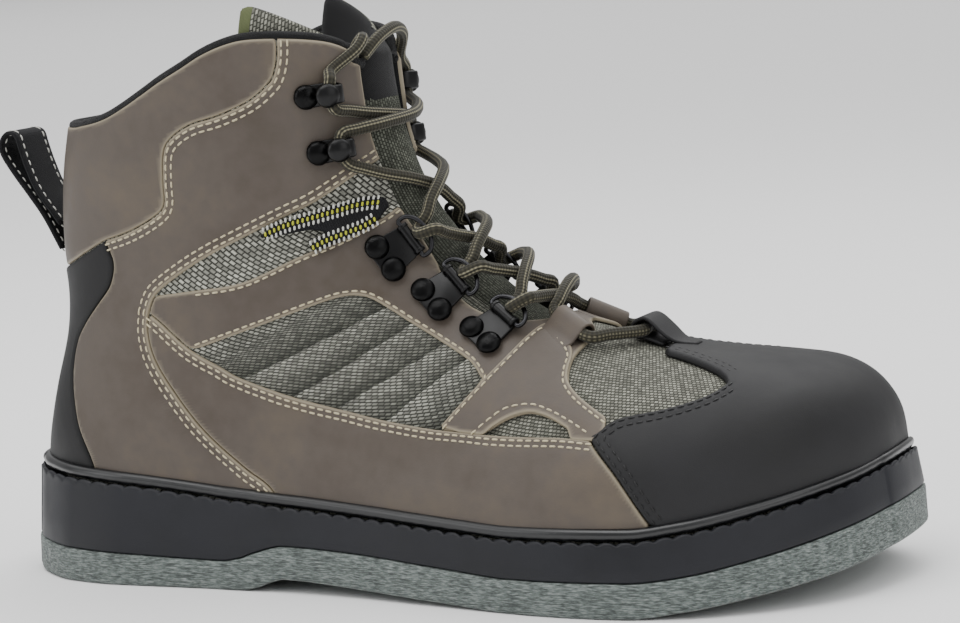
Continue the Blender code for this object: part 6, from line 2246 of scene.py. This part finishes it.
@dataclass
class Laces:
    """One round lace in two crossing runs, from the toe tab up to the top hooks."""

    thick: float = 4.2 * MM
    over: tuple[float, ...] = (7.5, 7.0, 5.8, 4.6, 3.0)
    bar: tuple[float, float] = (0.739, 0.440)
    folds: tuple[tuple[float, float, float], ...] = ((0.714, 0.434, 15.5), (0.697, 0.434, 19.5),
                                                     (0.672, 0.452, 16.5), (0.647, 0.475, 11.5))

    def near(self, tree: BVHTree, along: float, up: float, y: float) -> Vector:
        """Nearest point of a form to a rough place."""
        return tree.find_nearest(Vector((SOLE.run(along), y, up * LAST.shaft_height)))[0]

    def arch(self, start: Vector, end: Vector, height: float) -> list[Vector]:
        """Points of a slack arch over the tongue.

        Args:
            start: where it leaves one side.
            end: where it reaches the other.
            height: how high its middle stands over the last.

        Returns:
            The points between them.
        """
        heights, ways = [], []
        for point in (start, end):
            near, normal = SURFACE.tree.find_nearest(point)[:2]
            heights.append((point - near).dot(normal))
            ways.append(normal)
        points = []
        for t in (0.14, 0.3, 0.5, 0.7, 0.86):
            way = ways[0].lerp(ways[1], t).normalized()
            middle = start.lerp(end, t)
            near = SURFACE.tree.ray_cast(middle + way * 60 * MM, -way)[0] or middle
            plain = heights[0] + (heights[1] - heights[0]) * t
            rise = (height - (heights[0] + heights[1]) / 2) * math.sin(math.pi * t) ** 0.8
            points.append(near + way * (plain + rise))
        return points

    def build(self, turns: list[dict[Hand, list[Vector]]]) -> None:
        """Make both runs as one piece, and the toe tab over their lowest bar.

        Args:
            turns: the points where the lace turns on each side, from the toe.
        """
        skin = SURFACE.tree_at(self.thick / 2 + 1.9 * MM)
        bar = self.near(skin, *self.bar, 0)
        holds = {hand: [self.near(skin, along, up, hand.value * y * MM) for along, up, y in self.folds]
                 for hand in Hand}
        meshes = []
        for start in Hand:
            points = [bar, self.near(skin, self.bar[0] + 0.002, self.bar[1], start.value * 6.5 * MM)]
            hand = start
            for number, row in enumerate([holds] + turns):
                stops = row[hand]
                if number:
                    above = (number + (start is Hand.MEDIAL)) % 2
                    height = self.over[number - 1] * MM + (2.2 if above else -2.2) * MM
                    points += self.arch(points[-1], stops[0], height)
                points += stops
                hand = Hand.MEDIAL if hand is Hand.LATERAL else Hand.LATERAL
            points += self.end(hand)
            meshes.append(tube_mesh("lace_run", dense(smooth_route(points, 8), 0.9 * MM), self.thick / 2, 12))
        mesh = merged("laces", meshes, Matrix.Identity(4))
        mesh.materials.append(LACE_CORD.material())
        hang(outward(new_object("laces_piece", mesh)), "lace_crossings", "lace_crossings")
        for hand in Hand:
            self.fold(hand, holds[hand])
        surface = SURFACE.tree_at(2.3 * MM)
        far = self.near(surface, 0.800, 0.412, 0)
        root = self.near(surface, 0.776, 0.418, 0)
        tip = self.near(surface, 0.764, 0.42, 0) - Vector((0, 0, 1.6 * MM))
        reach = self.thick / 2 + 1.1 * MM
        knots = [far, root + Vector((0, 0, 0.5 * MM)), bar + Vector((1.1 * reach, 0, 0.85 * reach)),
                 bar + Vector((0.1 * reach, 0, 1.1 * reach)), bar + Vector((-0.85 * reach, 0, 0.45 * reach)),
                 bar + Vector((-0.75 * reach, 0, -0.65 * reach)), bar + Vector((0.4 * reach, 0, -0.95 * reach)), tip]
        path = smooth_route(knots, 6)
        wide = np.interp(np.linspace(0, 1, len(path)), [0, 0.2, 0.4, 1], [0.005, 0.015, 0.0135, 0.012])
        mesh = strip_mesh("toe_tab", path, np.tile([0.0, 1.0, 0.0], (len(path), 1)), wide, 1.3 * MM)
        mesh.materials.append(CAP_RUBBER.material())
        hang(outward(new_object("toe_tab", mesh)), "toe_cap")

    def fold(self, hand: Hand, stops: list[Vector]) -> None:
        """The leather fold that the lace runs under, at the foot of an eyestay.

        Args:
            hand: the side that it is on.
            stops: the lace's points under it.
        """
        along = (stops[3] - stops[1]).normalized()
        middle = (stops[3] + stops[1]) / 2
        normal = SURFACE.tree.find_nearest(middle)[1]
        normal = (normal - along * normal.dot(along)).normalized()
        inward = normal.cross(along)
        if inward.y * hand.value > 0:
            inward = -inward
        rows = [(-12.0, 0.9), (-9.0, 1.5), (-5.6, 2.4), (-3.0, 4.6), (-0.2, 7.0), (2.4, 6.6), (3.6, 4.4), (3.0, 2.0),
                (1.0, 1.2)]
        knots = []
        for x, z in rows:
            near, way = SURFACE.tree.find_nearest(middle + inward * x * MM)[:2]
            knots.append(near + way * z * MM)
        path = smooth_route(knots, 5)
        mesh = strip_mesh("fold", path, np.tile(np.array(along), (len(path), 1)),
                          np.interp(np.linspace(0, 1, len(path)), [0, 0.25, 1], [0.012, 0.0145, 0.0145]), 1.1 * MM)
        mesh.materials.append(TAN_LEATHER.material())
        side = hand.name.lower()
        hang(outward(new_object("lace_fold_" + side, mesh)), "eyestay_" + side)

    def end(self, hand: Hand) -> list[Vector]:
        """The short end past a top hook; the hand is the side that it goes to."""
        if hand is Hand.MEDIAL:
            spots = [(0.425, 0.935, -27, 3.0), (0.446, 0.968, -20, 3.2), (0.448, 0.988, -15, 1.5),
                     (0.438, 0.975, -14, -1.2), (0.43, 0.95, -15, -1.8)]
        else:
            spots = [(0.435, 0.945, 24, 3.2), (0.452, 0.985, 17, 3.0), (0.462, 1.0, 6, 1.6),
                     (0.458, 0.985, -6, 0.6), (0.45, 0.955, -14, 0.0)]
        points = []
        for along, up, y, height in spots:
            near, normal = SURFACE.tree.find_nearest(
                Vector((SOLE.run(along), y * MM, up * LAST.shaft_height)))[:2]
            points.append(near + normal * height * MM)
        return points


@dataclass
class Tapes:
    """The pull loop at the back and the webbing loops that hold the ankle in."""

    width: float = 20 * MM
    thick: float = 1.5 * MM
    reach: float = 27 * MM
    rise: float = 34 * MM

    def build(self) -> None:
        """Make the tapes."""
        tree = SURFACE.tree_at(0.3 * MM + 1.3 * MM + 0.3 * MM + self.thick / 2)
        low, high = (tree.find_nearest(Vector((SOLE.run(-0.05), 0, up * LAST.shaft_height)))[0]
                     for up in (0.610, 0.668))
        rear = SOLE.run(0) - SOLE.shelf
        loop = [(10.5, 124.5), (5.0, 132.5), (-0.8, 140.5), (-4.8, 147.2), (-4.8, 151.4), (-2.2, 154.2), (1.2, 153.4),
                (2.6, 149.0), (4.6, 142.5), (8.4, 133.5)]
        knots = [low] + [Vector((rear + x * MM, 0, z * MM)) for x, z in loop] + [high]
        path = smooth_route(knots, 8)
        across = np.tile([0.0, 1.0, 0.0], (len(path), 1))
        mesh = strip_mesh("pull_loop", path, across, np.full(len(path), self.width), self.thick)
        mesh.materials.append(BLACK_WEBBING.material())
        hang(outward(new_object("pull_loop_piece", mesh)), "pull_loop", "pull_loop")
        out = np.cross(np.gradient(path, axis=0), across)
        out /= np.linalg.norm(out, axis=1, keepdims=True)
        lines, ups = [], []
        for way in (-1, 1):
            for side in (-7.4, 7.4):
                lines.append(path + across * side * MM + out * way * (self.thick / 2 + 0.05 * MM))
                ups.append(out * way)
        STITCHER.sew("pull_loop_stitches", "pull_loop", lines, ups, WHITE_THREAD)
        shape = side_points((0.328, 0.640), (0.352, 0.664), (0.405, 0.689), (0.440, 0.702), (0.458, 0.699),
                            (0.463, 0.682), (0.452, 0.652), (0.420, 0.628), (0.390, 0.610), (0.384, 0.622),
                            (0.404, 0.644), (0.388, 0.652), (0.352, 0.643))
        for hand in Hand:
            name = "webbing_loop_" + hand.name.lower()
            Panel(name, joined(shape), self.thick, BLACK_WEBBING, hand, base=2.3 * MM, painted_edge_highlight=0.0).build()
            self.dashes(name, hand)


    def dashes(self, name: str, hand: Hand) -> None:
        """Short white and yellow threads woven across the two legs of a webbing loop.

        Args:
            name: the loop's name.
            hand: the side that it is on.
        """
        legs = [[(0.340, 0.648), (0.364, 0.663), (0.405, 0.679), (0.435, 0.690), (0.452, 0.690)],
                [(0.390, 0.619), (0.402, 0.629), (0.422, 0.640), (0.440, 0.650), (0.450, 0.660)]]
        shape = capsule("dash_shape", 1.7 * MM, 0.4 * MM, 0.1 * MM)
        for thread, shifts in ((WHITE_THREAD, (-1.7, 1.7)), (YELLOW_THREAD, (0.0,))):
            lines, ups, aheads = [], [], []
            for leg in legs:
                for shift in shifts:
                    flat = shifted(spline(leg), shift * MM)
                    for run in SURFACE.in_space(flat, hand):
                        places, normals = laid(dense(run, 1.6 * MM), 2.3 * MM + self.thick)
                        ahead = np.gradient(places, axis=0)
                        lines.append(places)
                        ups.append(normals)
                        aheads.append(np.cross(normals, ahead) + 0.35 * ahead)
            piece = REPEAT.make(name + "_" + thread.name, lines, ups, shape, thread, 0.0, aheads)
            hang(piece, name)
        bpy.data.objects.remove(shape, do_unlink=True)


@dataclass
class Collar:
    """The black lip along the collar's edge and the padded lining below it."""

    lip: float = 1.7 * MM
    depth: float = 42 * MM
    puff: float = 5.0 * MM

    def build(self) -> None:
        """Make the lip and the padding."""
        line = spline(COLLAR_LINE)
        meshes = []
        for hand in Hand:
            runs = SURFACE.in_space(dense(line), hand)
            run = max(runs, key=len)
            open_part = distance_to(run, SURFACE.throat_lines) > 1.0 * MM
            keep = run[open_part & ((run[:, 0] < SOLE.run(0.37)) | (np.abs(run[:, 1]) > 10 * MM))]
            places, _ = laid(keep, -0.5 * MM)
            places[:, 2] += 0.6 * MM
            if abs(places[0, 1]) > 0.5 * MM:
                start = places[0] * [1, 0, 1]
                places = np.concatenate([[start], places])
            meshes.append(tube_mesh("lip", smooth_route(dense(places, 4 * MM), 5), self.lip, 10))
        mesh = merged("collar_lip", meshes, Matrix.Identity(4))
        mesh.materials.append(BLACK_LINING.material())
        hang(outward(new_object("collar_lip", mesh)), "upper")
        floor = line[(line[:, 0] < SOLE.run(0.27))] - [0, self.depth]
        top = line[(line[:, 0] < SOLE.run(0.27))]
        outline = joined(top, floor[::-1])
        cloth = SURFACE.part(outline, None)
        lines = [run for hand in Hand for run in SURFACE.in_space(outline, hand)]
        cloth.values["rim"] = SURFACE.edge_value(cloth, outline, lines)
        cloth = cloth.below("rim", 0)
        for level in (0.4, 1.2, 3.0):
            cloth.split("rim", -level * MM)
        t = np.clip(-cloth.values["rim"] / (12 * MM), 0, 1)
        inner = -2.5 * MM - self.puff * np.sqrt(1 - (1 - t) ** 2)
        mesh = shell_mesh("collar_padding", cloth, np.full(len(t), -2.35 * MM), inner)
        mesh.materials.append(BLACK_LINING.material())
        piece = new_object("collar_padding", mesh)
        hang(piece, "upper")


@dataclass
class Studio:
    """The camera at the photograph's angle, soft lights and a pale floor."""

    place: tuple[float, float, float] = (0.54805, -0.9637, 0.22716)
    turn: float = 23.599
    pitch: float = 7.521
    roll: float = -3.578
    lens: float = 117.74

    def build(self) -> None:
        """Set the camera, lights, floor and sky."""
        data = bpy.data.cameras.new("camera")
        data.sensor_width = 36
        data.lens = self.lens
        data.clip_start = 0.05
        camera = bpy.data.objects.new("camera", data)
        turn, pitch, roll = (math.radians(a) for a in (self.turn, self.pitch, self.roll))
        ahead = Vector((-math.sin(turn) * math.cos(pitch), math.cos(turn) * math.cos(pitch), -math.sin(pitch)))
        right = Vector((math.cos(turn), math.sin(turn), 0))
        up = right.cross(ahead)
        across = right * math.cos(roll) + up * math.sin(roll)
        over = up * math.cos(roll) - right * math.sin(roll)
        frame_axes = Matrix((across, over, -ahead)).transposed().to_4x4()
        camera.matrix_world = Matrix.Translation(self.place) @ frame_axes
        bpy.context.scene.collection.objects.link(camera)
        bpy.context.scene.camera = camera
        for name, place, size, power in (
                ("key_light", (-0.15, -0.55, 1.45), 1.1, 11), ("fill_light", (1.25, -0.75, 0.7), 0.9, 4),
                ("back_light", (0.3, 0.7, 1.2), 1.0, 6), ("left_light", (-1.0, -0.9, 0.6), 0.7, 4),
                ("ceiling_light", (0.1, 3.0, 5.0), 12.0, 420)):
            light = bpy.data.lights.new(name, "AREA")
            light.size = size
            light.energy = power
            lamp = bpy.data.objects.new(name, light)
            lamp.location = place
            target = Vector((0.11, 0, 0.08)) if size < 2 else Vector((place[0], place[1], 0))
            lamp.rotation_euler = (target - Vector(place)).to_track_quat("-Z", "Y").to_euler()
            bpy.context.scene.collection.objects.link(lamp)
        world = bpy.data.worlds.new("studio")
        world.use_nodes = True
        sky = world.node_tree.nodes["Background"]
        sky.inputs["Color"].default_value = linear("ffffff")
        sky.inputs["Strength"].default_value = 0.5
        bpy.context.scene.world = world
        mesh = bpy.data.meshes.new("floor")
        mesh.from_pydata([(-30, -30, 0), (30, -30, 0), (30, 30, 0), (-30, 30, 0)], [], [(0, 1, 2, 3)])
        floor = new_object("floor", mesh)
        mesh.materials.append(Finish("pale_floor", "fafafa", roughness=0.9, specular=0.1).material())


def main() -> None:
    """Dress the boot, sub-assembly by sub-assembly."""
    logging.basicConfig(level=logging.INFO, format="%(message)s")
    Studio().build()
    Sole().build()
    UpperShell().build()
    Overlays().build()
    Tongue().build()
    Collar().build()
    fittings = Fittings()
    fittings.build()
    Laces().build(fittings.turns)
    Tapes().build()
    STITCHER.done()


if __name__ == "__main__":
    main()
